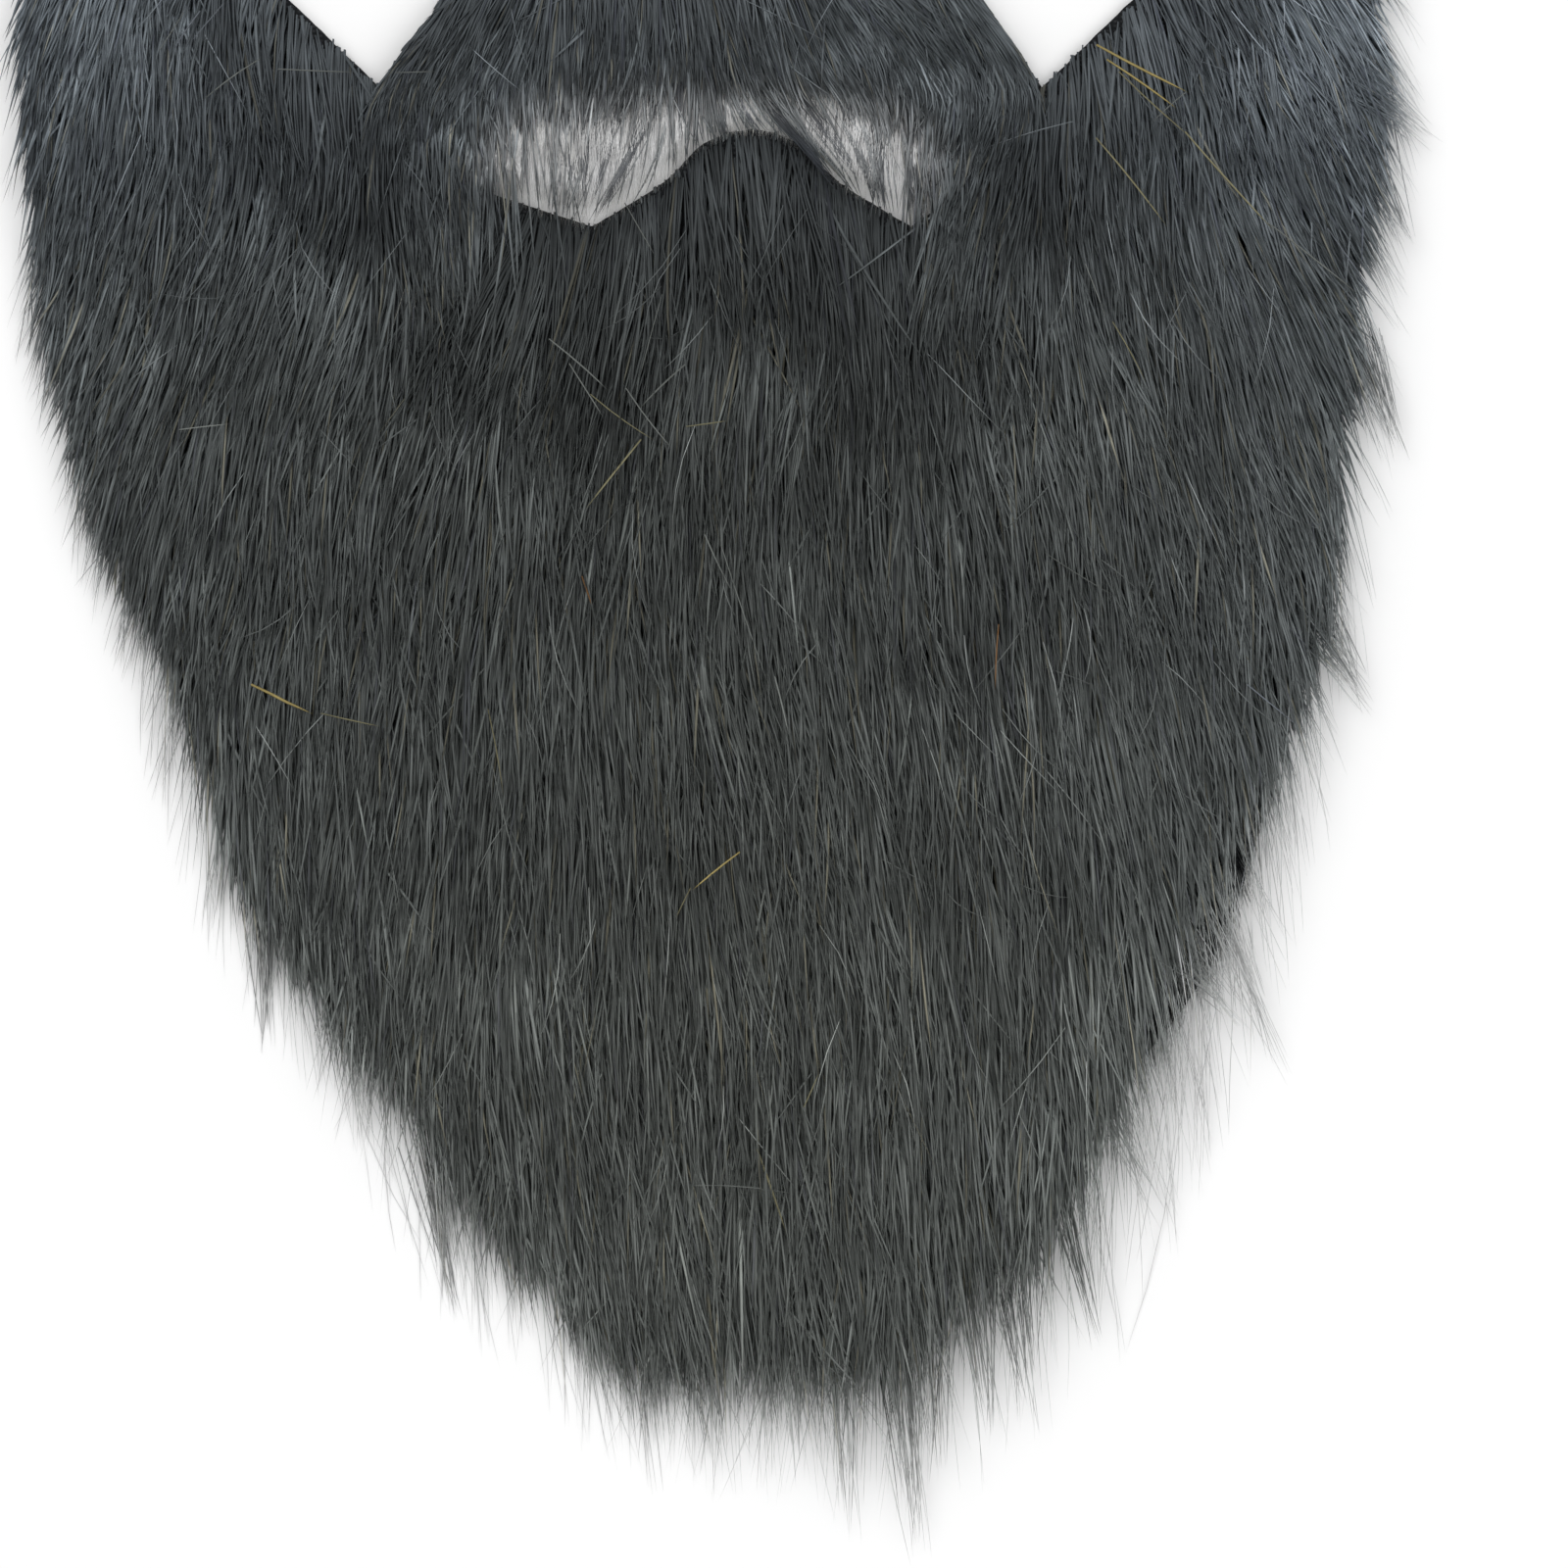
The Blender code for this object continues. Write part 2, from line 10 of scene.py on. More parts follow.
import bpy
import numpy as np
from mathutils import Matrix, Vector
from mathutils.bvhtree import BVHTree
from mathutils.geometry import delaunay_2d_cdt


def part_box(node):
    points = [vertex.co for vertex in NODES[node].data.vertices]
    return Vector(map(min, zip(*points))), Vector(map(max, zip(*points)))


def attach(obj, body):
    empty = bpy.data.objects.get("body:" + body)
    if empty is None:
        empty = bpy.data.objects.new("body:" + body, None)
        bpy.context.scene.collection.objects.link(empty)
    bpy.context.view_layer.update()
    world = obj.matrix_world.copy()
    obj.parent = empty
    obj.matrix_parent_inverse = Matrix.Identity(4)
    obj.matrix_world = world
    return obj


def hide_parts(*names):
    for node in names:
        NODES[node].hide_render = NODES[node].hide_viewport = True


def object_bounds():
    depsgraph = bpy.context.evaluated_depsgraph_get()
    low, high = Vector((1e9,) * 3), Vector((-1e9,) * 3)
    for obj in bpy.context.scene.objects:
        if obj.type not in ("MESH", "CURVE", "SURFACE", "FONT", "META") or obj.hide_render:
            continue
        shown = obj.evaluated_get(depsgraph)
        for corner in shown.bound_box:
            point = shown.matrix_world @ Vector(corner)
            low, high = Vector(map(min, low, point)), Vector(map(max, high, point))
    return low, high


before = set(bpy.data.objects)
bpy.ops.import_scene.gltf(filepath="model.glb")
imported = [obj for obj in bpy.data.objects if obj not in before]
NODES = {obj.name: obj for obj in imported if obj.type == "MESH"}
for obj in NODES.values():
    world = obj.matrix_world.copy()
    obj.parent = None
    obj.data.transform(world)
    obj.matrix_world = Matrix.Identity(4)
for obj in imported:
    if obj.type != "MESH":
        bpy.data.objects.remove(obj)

MM = 0.001
CAD_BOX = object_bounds()
CLOTH_LOW, CLOTH_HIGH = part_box("backing_cloth")
PILE_NODES = ("beard_pile", "moustache_pile", "sideburn_pile_left", "sideburn_pile_right")


def named_rows(kind, table):
    """A table's rows under their columns' names."""
    return [kind(*row) for row in table]


# The photo's frame. The cloth's width is known in both, and the frame's origin is at ORIGIN.
PHOTO_SIDE = 1600
CLOTH_PIXELS = 1356.7
PIXEL = (CLOTH_HIGH.x - CLOTH_LOW.x) / CLOTH_PIXELS
Pixel = namedtuple("Pixel", "px py")
ORIGIN = Pixel(725, 400)

# Corners above or beside which the fur belongs to the moustache and the sideburns
MOUTH_CORNER = Pixel(455, 178)
NOTCH_POINT = Pixel(1065, 85)
SIDEBURN_START = Pixel(1240, -60)

# Where the fur stops looking dense, going round from the left sideburn's end, and how far
# its loosest hairs reach past that line, in millimetres
EdgeRow = namedtuple("EdgeRow", "px py reach")
FUR_EDGE = named_rows(EdgeRow, (
    (48, -390, 3), (46, -320, 4), (28, -200, 5), (14, -80, 5), (12, 0, 5), (10, 100, 5),
    (26, 200, 5), (42, 330, 6), (68, 450, 6), (92, 530, 7), (126, 600, 8), (176, 680, 9),
    (212, 800, 10), (240, 900, 10), (308, 996, 11), (366, 1074, 12), (434, 1152, 14),
    (494, 1250, 16), (568, 1330, 14), (636, 1402, 14), (700, 1404, 19), (800, 1400, 21),
    (900, 1404, 25), (955, 1350, 27), (1005, 1312, 26), (1055, 1286, 24), (1100, 1196, 20),
    (1144, 1100, 20), (1190, 984, 20), (1236, 890, 18), (1300, 776, 13), (1346, 664, 9),
    (1364, 560, 8), (1372, 470, 9), (1384, 380, 8), (1384, 300, 9), (1408, 180, 7), (1416, 90, 7),
    (1404, 0, 8), (1406, -80, 7), (1412, -200, 5), (1402, -320, 4), (1400, -390, 3),
))

# Lean of the hair away from straight down, in degrees towards the picture's right, with one
# number for each place across the picture
LeanRow = namedtuple("LeanRow", "py leans")
BEARD_ACROSS = (50, 375, 725, 1075, 1375)
BEARD_LEAN = named_rows(LeanRow, (
    (-350, (-6, 0, 0, 0, 8)),
    (0, (-14, -4, 0, 2, 36)),
    (150, (-8, 4, 0, -8, 24)),
    (250, (-12, -12, 0, 6, 28)),
    (400, (-18, -12, -2, 8, 22)),
    (550, (-14, -8, 0, 8, 20)),
    (700, (-8, -4, 4, 7, 14)),
    (900, (-4, -3, 2, 7, 8)),
    (1100, (0, 2, 3, 5, 8)),
    (1300, (12, 8, 5, 2, -2)),
    (1450, (14, 8, 5, 0, -6)),
))
MOUSTACHE_ACROSS = (430, 500, 570, 630, 700, 780, 850, 900, 960, 1020)
MOUSTACHE_LEAN = named_rows(LeanRow, (
    (0, (-38, -24, -8, -1, 6, 18, 28, 33, 37, 40)),
    (60, (-34, -18, -6, -2, 4, 14, 25, 28, 30, 34)),
    (110, (-6, -2, -4, -16, 2, 36, 34, 8, 0, -2)),
    (200, (9, 3, -3, -18, 0, 40, 38, 3, -5, -9)),
))

# Length of the hair from root to tip down the beard, in millimetres
LengthRow = namedtuple("LengthRow", "py length")
HAIR_LENGTH = named_rows(LengthRow, (
    (-350, 24), (0, 32), (300, 40), (700, 48), (1100, 58), (1300, 72),
))

# How far most of the moustache's hair hangs over the mouth opening, in millimetres
HangRow = namedtuple("HangRow", "px hang")
MOUTH_HANG = named_rows(HangRow, (
    (450, 1.0), (490, 5.0), (519, 5.2), (560, 2.4), (600, 1.0), (740, 0.8), (850, 1.4), (900, 2.4),
    (951, 3.0), (1000, 1.0),
))

# Brightness and blueness of the hair down the picture, and across it
ToneRow = namedtuple("ToneRow", "at bright blue")
TONE_DOWN = named_rows(ToneRow, (
    (-350, 1.30, 1.2), (0, 1.50, 1.3), (90, 1.40, 1.2), (170, 0.95, 1.1), (280, 0.95, 0.6),
    (450, 0.94, 0.2), (700, 1.02, 0.0), (1000, 1.20, -0.2), (1250, 1.36, -0.2), (1450, 1.55, -0.1),
))
TONE_ACROSS = named_rows(ToneRow, (
    (0, 1.15, 0.6),
    (180, 1.02, 0.3),
    (725, 0.90, 0.0),
    (1120, 1.10, 0.2),
    (1300, 1.24, 0.5),
    (1380, 1.36, 0.6),
    (1430, 1.40, 0.6),
))

# Change of red, green and blue with blueness, and how much more painted fill light the moustache's
# hair gets where other hair covers it
BLUE_SHIFT = (-0.040, -0.010, 0.080)
MOUSTACHE_BRIGHT = 1.08

# How much lighter the hair is painted at the far end of the fringe and over the mouth opening, as
# painted light where thin hair lies over the bright floor, and the palest that any hair gets
FRINGE_PAINTED_LIGHT = 3.4
MOUTH_PAINTED_LIGHT = 1.6
PALE_MOUTH_DEPTH = 5.0 * MM
PALEST = 0.62

# How far below a cut edge the hair has to root before other hair buries it and its painted fill
# light starts, and how bright the unburied hair is against the rest
BURIED_AFTER = 25.0 * MM
EDGE_SHADE = 0.72

# Length down the beard from which a hair counts as whole and gets its full painted fill light
# towards its root
WHOLE_HAIR = 30.0 * MM

# Fields over the whole object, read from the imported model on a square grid
FIELD_STEP = 1.0 * MM
FIELD_MARGIN = 24.0 * MM
FIELD_LOW = (CAD_BOX[0].x - FIELD_MARGIN, CAD_BOX[0].y - FIELD_MARGIN)
FIELD_HIGH = (CAD_BOX[1].x + FIELD_MARGIN, CAD_BOX[1].y + FIELD_MARGIN)
DROOP_LENGTH = 16.0 * MM

# How far fields are blurred, and the shares of a blurred square that count as any and full cover
PILE_BLUR = 3.0 * MM
REACH_BLUR = 4.0 * MM
SMALLEST_COVER = 0.05
FULL_COVER = 0.625

CHANCE = np.random.default_rng(11)


def at_pixel(px, py):
    """Place in the frame of a pixel of the photo."""
    return (px - ORIGIN.px) * PIXEL, (ORIGIN.py - py) * PIXEL


def pixel_at(x, y):
    return ORIGIN.px + x / PIXEL, ORIGIN.py - y / PIXEL


def read_table(table, column, at):
    """One column of a table, read between its rows at pixels of the photo."""
    return np.interp(at, [row[0] for row in table], [getattr(row, column) for row in table])


def smoothstep(value):
    value = np.clip(value, 0.0, 1.0)
    return value * value * (3 - 2 * value)


# Fields


def field_axes():
    xs = np.arange(FIELD_LOW[0], FIELD_HIGH[0], FIELD_STEP)
    ys = np.arange(FIELD_LOW[1], FIELD_HIGH[1], FIELD_STEP)
    return xs, ys


def read_field(name, x, y):
    """Values of one of the fields at places between its points."""
    field = FIELDS[name]
    rows, columns = field.shape
    u = np.clip((x - FIELD_LOW[0]) / FIELD_STEP, 0, columns - 1.001)
    v = np.clip((y - FIELD_LOW[1]) / FIELD_STEP, 0, rows - 1.001)
    i, j = v.astype(int), u.astype(int)
    s, t = v - i, u - j
    low = field[i, j] * (1 - t) + field[i, j + 1] * t
    high = field[i + 1, j] * (1 - t) + field[i + 1, j + 1] * t
    return low * (1 - s) + high * s


def top_field(names):
    """Height of the highest solid of these nodes, and 0 where there is none."""
    points, faces = [], []
    for name in names:
        mesh = NODES[name].data
        first = len(points)
        points += [tuple(v.co) for v in mesh.vertices]
        faces += [[first + i for i in p.vertices] for p in mesh.polygons]
    tree = BVHTree.FromPolygons(points, faces)
    xs, ys = field_axes()
    start = CAD_BOX[1].z + FIELD_MARGIN
    down = Vector((0, 0, -1))
    field = np.zeros((len(ys), len(xs)))
    for i, y in enumerate(ys):
        for j, x in enumerate(xs):
            hit = tree.ray_cast(Vector((x, y, start)), down)[0]
            if hit is not None:
                field[i, j] = hit.z
    return field


def blurred(field, reach):
    """The field with each point the mean of the square around it, twice."""
    half = max(1, round(reach / FIELD_STEP))
    for axis in (0, 1, 0, 1):
        pad = [(half + 1, half) if a == axis else (0, 0) for a in (0, 1)]
        total = np.cumsum(np.pad(field, pad, mode="edge"), axis=axis)
        upper = np.take(total, range(2 * half + 1, total.shape[axis]), axis=axis)
        lower = np.take(total, range(total.shape[axis] - 2 * half - 1), axis=axis)
        field = (upper - lower) / (2 * half + 1)
    return field


def distance_field(loops, values=None):
    """Distance to the nearest of these closed loops, and the value carried by that place."""
    xs, ys = field_axes()
    gx, gy = np.meshgrid(xs, ys)
    nearest = np.full(gx.shape, np.inf)
    carried = np.zeros(gx.shape)
    for number, loop in enumerate(loops):
        numbers = values[number] if values else [0.0] * len(loop)
        ends = list(zip(loop, numbers))
        for ((ax, ay), av), ((bx, by), bv) in zip(ends, ends[1:] + ends[:1]):
            span = (bx - ax) ** 2 + (by - ay) ** 2
            t = np.clip(((gx - ax) * (bx - ax) + (gy - ay) * (by - ay)) / span, 0, 1)
            away = np.hypot(gx - ax - t * (bx - ax), gy - ay - t * (by - ay))
            closer = away < nearest
            nearest[closer] = away[closer]
            carried[closer] = (av + t * (bv - av))[closer]
    return nearest, carried


def inside_loops(loops, x, y):
    """True inside an odd number of these closed loops."""
    inside = np.zeros(np.shape(x), bool)
    for loop in loops:
        for (ax, ay), (bx, by) in zip(loop, loop[1:] + loop[:1]):
            if ay == by:
                continue
            crosses = (ay > y) != (by > y)
            inside ^= crosses & (x < ax + (y - ay) / (by - ay) * (bx - ax))
    return inside


def cut_loops(node):
    """The closed loops round a node's upper side, the longest first."""
    mesh = NODES[node].data
    edges = set()
    for face in mesh.polygons:
        if face.normal.z < 0.5:
            continue
        corners = [
            (round(mesh.vertices[i].co.x, 6), round(mesh.vertices[i].co.y, 6))
            for i in face.vertices
        ]
        edges.update(zip(corners, corners[1:] + corners[:1]))
    following = {a: b for a, b in edges if (b, a) not in edges}
    loops = []
    while following:
        at = min(following)
        loop = []
        while at in following:
            loop.append(at)
            at = following.pop(at)
        loops.append(loop)
    return sorted(loops, key=len, reverse=True)


def cloth_height(cloth_top, y):
    """Height of the cloth's upper side at places along the beard, from its field."""
    highest = cloth_top.max(axis=1)
    ys = field_axes()[1]
    return np.interp(y, ys[highest > 0], highest[highest > 0])


def build_fields():
    """The cloth, the pile and the edges of the fur as fields."""
    loops = cut_loops("backing_cloth")
    gx, gy = np.meshgrid(*field_axes())
    cloth = inside_loops(loops, gx, gy)
    mouth = inside_loops(loops[1:], gx, gy)
    off_cloth = distance_field(loops)[0]
    off_mouth = distance_field(loops[1:])[0]
    outline = [at_pixel(row.px, row.py) for row in FUR_EDGE]
    reaches = [row.reach * MM for row in FUR_EDGE]
    past_edge, reach = distance_field([outline], [reaches])
    within = inside_loops([outline], gx, gy)
    left = np.cumsum(cloth, axis=1) > 0
    right = np.cumsum(cloth[:, ::-1], axis=1)[:, ::-1] > 0
    notch = left & right & ~cloth & ~mouth
    above_mouth = (np.cumsum(mouth, axis=0) > 0) & cloth
    below_mouth = (np.cumsum(mouth[::-1], axis=0)[::-1] > 0) & cloth
    pile_top = top_field(PILE_NODES)
    cloth_top = top_field(["backing_cloth"])
    covered = blurred((pile_top > 0).astype(float), PILE_BLUR)
    full = blurred(pile_top, PILE_BLUR) / np.maximum(covered, SMALLEST_COVER)
    covered_for = np.zeros(cloth.shape)
    for i in reversed(range(len(cloth) - 1)):
        covered_for[i] = (covered_for[i + 1] + FIELD_STEP) * cloth[i]
    droop = smoothstep(np.where(cloth, 0.0, off_cloth) / DROOP_LENGTH)
    ground = cloth_height(cloth_top, gy) * (1 - droop)
    return {
        "loops": loops,
        "cloth": cloth,
        "cloth_top": cloth_top,
        "depth": np.where(cloth, off_cloth, -off_cloth),
        "past_edge": np.where(within, -past_edge, past_edge),
        "reach": blurred(reach, REACH_BLUR),
        "in_notch": np.where(notch, off_cloth, -off_cloth),
        "in_mouth": np.where(mouth, off_mouth, -off_mouth),
        "covered_for": covered_for,
        "above_mouth": above_mouth,
        "below_mouth": below_mouth,
        "ground": ground,
        "height": full * smoothstep(covered / FULL_COVER) - ground,
    }


FIELDS = build_fields()


# Hair

# Shares of a hair's length where its rings lie, closer together towards the tip that shows
RINGS = np.array([0.0, 0.32, 0.58, 0.8, 1.0])
THICKNESS_ALONG = np.array([0.85, 1.0, 1.0, 0.75, 0.0])
# Painted fill light along a hair, from root to tip: where other hair covers it, the hair is
# painted lighter against the shade it lies in
PAINTED_FILL_ALONG = np.array([4.2, 3.2, 2.0, 1.15, 1.0])
# Painted shade and light along the hairs over the mouth: darker at the root, in the moustache's
# shade, and lighter towards the tip over the bright floor
VEIL_PAINTED_SHADING_ALONG = np.array([0.55, 0.7, 0.95, 1.4, 1.7])
EVEN_ALONG = np.ones(len(RINGS))
FINE_STEPS = 22
SIDES = 3

# Empty share round each hair's square when its colour is baked, and below its first ring
UV_MARGIN = 0.06

HAIR_RADIUS = 0.29 * MM
WISP_RADIUS = 0.075 * MM
WISP_PAST = 2.5 * MM
WISP_OVER = 13.0 * MM
VEIL_RADIUS = 0.060 * MM
STRAY_RADIUS = 0.11 * MM
STREAK_RADIUS = 0.10 * MM
SPIKE_RADIUS = 0.11 * MM
ROOT_SINK = 0.3 * MM
HAIR_SEAT = 0.25 * MM
DROOP_SLOPE = 0.30
RISE_POWER = 0.75
LIFT_RANGE = (0.88, 1.0)

# Share of the hairs that end inside the fur's edge, how the others thin out past it, the
# longest of them against the edge's reach, and how far hairs spill over a cut edge
INNER_SHARE = 0.60
THINNING = 1.6
LONGEST_PAST = 1.15
MOST_SPILL = 0.25 * MM

# Single hairs: their lean, bend and length against the others, and the few that lean far
HAIR_LEAN = 3.0
FAR_LEAN = 14.0
FAR_SHARE = 0.045
HAIR_BEND = 7.0
LENGTH_RANGE = (0.72, 1.12)
RADIUS_RANGE = (0.7, 1.3)
DRAW_POWER = 1.3

# Band along the cut edges where roots lie closer together
EDGE_BAND = 3.0 * MM
EDGE_EXTRA = 4.0

BEARD_COUNT = 28000
MOUSTACHE_COUNT = 5200
SIDEBURN_COUNT = 2400
VEIL_COUNT = 1350
LOOSE_COUNT = 220

# Fine hairs over the mouth: how far above it they root, their length, how unevenly they hang,
# and how wide the streaks are in which they lie together
VEIL_ROOM = 6.0 * MM
VEIL_LENGTH = 34.0 * MM
VEIL_LEAN = 5.0
VEIL_SHADE = 0.08
VEIL_LENGTHS = (0.85, 1.1)
VEIL_ENDS = (0.95, 1.04)
VEIL_LIFT = (0.25, 1.0)
VEIL_STREAKS = (6.0 * MM, 2.2 * MM)

# Columns of the photo between which no hair of the moustache reaches the patch under the lip
LIP_PATCH = (560, 900)

# Clumps in which the moustache's lower fringe hangs, how far the longest hang and how few they
# are, and the share of single hairs that hang lower, with how far
FRINGE_CLUMP = 4.0 * MM
CLUMP_HANG = 11.0 * MM
CLUMP_POWER = 2.2
LOW_SHARE = 0.10
LOW_HANG = (3.0, 20.0)
HANG_RANGE = (0.2, 1.1)

Lock = namedtuple("Lock", "spacing lean pull length shade lift")
LOCK_JITTER = 0.42
LOCKS = (
    Lock(spacing=13.0 * MM, lean=4.0, pull=0.08, length=0.10, shade=0.05, lift=0.07),
    Lock(spacing=5.5 * MM, lean=4.0, pull=0.22, length=0.10, shade=0.09, lift=0.07),
    Lock(spacing=2.4 * MM, lean=3.5, pull=0.50, length=0.08, shade=0.12, lift=0.05),
)

Tint = namedtuple("Tint", "share colour spread")
TINTS = (
    Tint(share=0.87, colour=(0.086, 0.093, 0.089), spread=0.07),
    # Lighter grey strands: partly their own tone at random, partly a painted highlight for the
    # sheen that runs along single fibres
    Tint(share=0.07, colour=(0.112, 0.121, 0.114), spread=0.12),
    Tint(share=0.03, colour=(0.122, 0.118, 0.092), spread=0.15),
    Tint(share=0.03, colour=(0.062, 0.066, 0.069), spread=0.12),
)
# Pale beige of the fine hairs over the mouth, far lighter than the fur's dark fibre: with the
# white floor they make the mouth opening's grey, a painted shade, and their own paleness is
# painted light through thin hair
VEIL_PAINTED_GREY = (0.338, 0.325, 0.276)
STREAK_COLOUR = (0.040, 0.043, 0.045)
STRAY_COLOURS = {
    "gold": (0.300, 0.240, 0.095),
    "olive": (0.170, 0.158, 0.095),
    "rust": (0.150, 0.080, 0.035),
    # grey: lighter strands that lie across the fur, partly their own tone and partly a painted
    # highlight along the fibre
    "grey": (0.135, 0.144, 0.136),
    "blue": (0.120, 0.132, 0.150),
    "faint": (0.092, 0.098, 0.094),
}
STRAY_WIDTHS = {"gold": 2.2, "olive": 1.6, "rust": 1.4, "grey": 1.3, "blue": 1.6, "faint": 1.2}

# Spread of a tuft's roots and tips against its own, its hairs' bow, lift and shade, their
# lengths against the table's, and the spread of a single hair's ends
ROOT_SPREAD = 0.5
TIP_SPREAD = 0.22
TUFT_BOW = 0.05
TUFT_LIFT = (0.85, 1.0)
TUFT_SHADE = 0.15
STREAK_LENGTHS = (0.8, 1.0)
SPIKE_LENGTHS = (0.5, 1.0)
STRAY_SPREAD = 0.6

# Short hairs that lie across the others: how far inside they root, their length in millimetres,
# their turn and curl in degrees, and how much they differ
LOOSE_DEPTH = 6.0 * MM
LOOSE_LENGTH = (8, 24)
LOOSE_TURN = 26
LOOSE_CURL = 22
LOOSE_RADIUS = (0.6, 1.1)
LOOSE_RISE = (0.94, 1.02)
LOOSE_ROOT_RISE = 0.9
LOOSE_SHADE = 0.25

# Single hairs that lie across the others, from end to end
Stray = namedtuple("Stray", "px py end_px end_py colour")
STRAYS = named_rows(Stray, (
    (1118, 42, 1212, 98, "gold"), (1128, 58, 1200, 112, "gold"), (1140, 70, 1215, 146, "olive"),
    (1208, 138, 1300, 240, "olive"), (1292, 230, 1390, 306, "grey"),
    (1108, 270, 1128, 330, "grey"), (1136, 330, 1168, 392, "olive"), (258, 698, 322, 728, "gold"),
    (330, 726, 390, 742, "olive"), (757, 868, 706, 908, "gold"), (706, 908, 690, 936, "olive"),
    (1020, 640, 1014, 706, "rust"), (596, 590, 606, 622, "rust"), (700, 437, 742, 431, "olive"),
    (636, 203, 668, 262, "grey"), (560, 345, 622, 402, "grey"), (582, 372, 618, 428, "grey"),
    (700, 372, 652, 418, "grey"), (676, 300, 652, 392, "grey"), (640, 396, 688, 462, "grey"),
    (604, 402, 668, 452, "olive"), (652, 452, 598, 522, "olive"), (188, 438, 238, 434, "grey"),
    (284, 74, 362, 73, "faint"), (402, 73, 446, 72, "faint"), (228, 6, 196, 48, "blue"),
    (206, 10, 178, 56, "blue"), (190, 16, 160, 62, "grey"), (268, 62, 205, 108, "grey"),
    (1212, 98, 1172, 128, "grey"), (716, 544, 748, 606, "grey"), (738, 556, 786, 708, "grey"),
    (790, 690, 806, 752, "grey"), (498, 724, 516, 812, "olive"), (504, 782, 542, 930, "grey"),
    (1064, 560, 1136, 610, "grey"), (1120, 140, 1190, 236, "olive"),
    (820, 1130, 836, 1092, "olive"), (772, 1170, 802, 1256, "olive"),
    (1270, 700, 1322, 742, "blue"), (1352, 236, 1398, 300, "blue"),
))

# Tufts of hair drawn to one point: those that hang over the mouth, then the fringe's spikes
Tuft = namedtuple("Tuft", "px py end_px end_py count spread")
MOUTH_TUFTS = named_rows(Tuft, (
    (500, 96, 503, 182, 16, 1.4), (530, 82, 533, 192, 18, 1.4), (570, 70, 586, 206, 18, 1.4),
    (597, 66, 594, 216, 30, 1.3), (640, 70, 600, 214, 20, 1.3), (690, 62, 604, 226, 32, 1.6),
    (692, 60, 694, 146, 14, 1.3), (728, 60, 730, 124, 12, 1.3), (752, 62, 860, 196, 30, 2.0),
    (792, 62, 884, 186, 24, 1.8), (852, 66, 890, 196, 20, 1.5), (893, 70, 902, 216, 24, 1.5),
    (928, 78, 931, 220, 40, 1.5), (972, 110, 990, 204, 18, 1.5),
))
FRINGE_TUFTS = named_rows(Tuft, (
    (1350, 50, 1466, 146, 90, 6.0),
    (1390, 150, 1444, 258, 30, 5.0),
    (1390, 340, 1434, 470, 34, 5.0),
    (1325, 610, 1402, 726, 50, 6.0),
    (1290, 640, 1368, 752, 18, 5.0),
    (1230, 880, 1318, 1112, 26, 6.0),
    (1200, 960, 1285, 1060, 18, 5.0),
    (1110, 1070, 1192, 1252, 26, 6.0),
    (1075, 1180, 1122, 1388, 30, 6.0),
    (1020, 1240, 1056, 1476, 30, 6.0),
    (985, 1260, 1010, 1474, 26, 6.0),
    (940, 1290, 960, 1534, 26, 6.0),
    (905, 1290, 940, 1598, 40, 6.0),
    (850, 1290, 870, 1574, 36, 6.0),
    (795, 1290, 812, 1516, 22, 6.0),
    (705, 1280, 730, 1524, 22, 6.0),
    (640, 1260, 670, 1530, 30, 6.0),
    (430, 1150, 460, 1348, 22, 5.0),
    (262, 900, 268, 1084, 16, 5.0),
    (44, 280, 18, 372, 16, 4.0),
))


def lock_of(x, y, spacing):
    """Nearest lock centre of a jittered grid of locks, and the lock's own number."""
    columns = math.ceil((FIELD_HIGH[0] - FIELD_LOW[0]) / spacing) + 3
    rows = math.ceil((FIELD_HIGH[1] - FIELD_LOW[1]) / spacing) + 3
    jitter = CHANCE.uniform(-LOCK_JITTER, LOCK_JITTER, (rows, columns, 2))
    i = np.floor((y - FIELD_LOW[1]) / spacing).astype(int) + 1
    j = np.floor((x - FIELD_LOW[0]) / spacing).astype(int) + 1
    best = np.full(len(x), np.inf)
    centre = np.zeros((len(x), 2))
    number = np.zeros(len(x), int)
    for di in (-1, 0, 1):
        for dj in (-1, 0, 1):
            a = np.clip(i + di, 0, rows - 1)
            b = np.clip(j + dj, 0, columns - 1)
            cx = FIELD_LOW[0] + (b - 0.5 + jitter[a, b, 0]) * spacing
            cy = FIELD_LOW[1] + (a - 0.5 + jitter[a, b, 1]) * spacing
            away = np.hypot(x - cx, y - cy)
            closer = away < best
            best[closer] = away[closer]
            centre[closer, 0] = cx[closer]
            centre[closer, 1] = cy[closer]
            number[closer] = (a * columns + b)[closer]
    return centre, number, rows * columns


def lean_at(x, y, across, table):
    """Angle of the hair from straight down, in radians, read between a table's places."""
    px, py = pixel_at(x, y)
    heights = [row.py for row in table]
    columns = [np.interp(py, heights, [row.leans[k] for row in table]) for k in range(len(across))]
    k = np.clip(np.searchsorted(across, px) - 1, 0, len(across) - 2)
    places = np.array(across, float)
    share = np.clip((px - places[k]) / (places[k + 1] - places[k]), 0, 1)
    columns = np.array(columns)
    every = np.arange(len(px))
    return np.radians(columns[k, every] * (1 - share) + columns[k + 1, every] * share)


def random_roots(count, allowed):
    """Random places on the cloth where allowed(x, y) holds, closer along its cut edges."""
    gx, gy = np.meshgrid(*field_axes())
    good = FIELDS["cloth"] & allowed(gx, gy)
    px, py = gx[good], gy[good]
    weights = 1 + EDGE_EXTRA * (1 - smoothstep(FIELDS["depth"][good] / EDGE_BAND))
    chosen = CHANCE.choice(len(px), count, p=weights / weights.sum())
    jitter = CHANCE.uniform(-0.5, 0.5, (2, count)) * FIELD_STEP
    return px[chosen] + jitter[0], py[chosen] + jitter[1]


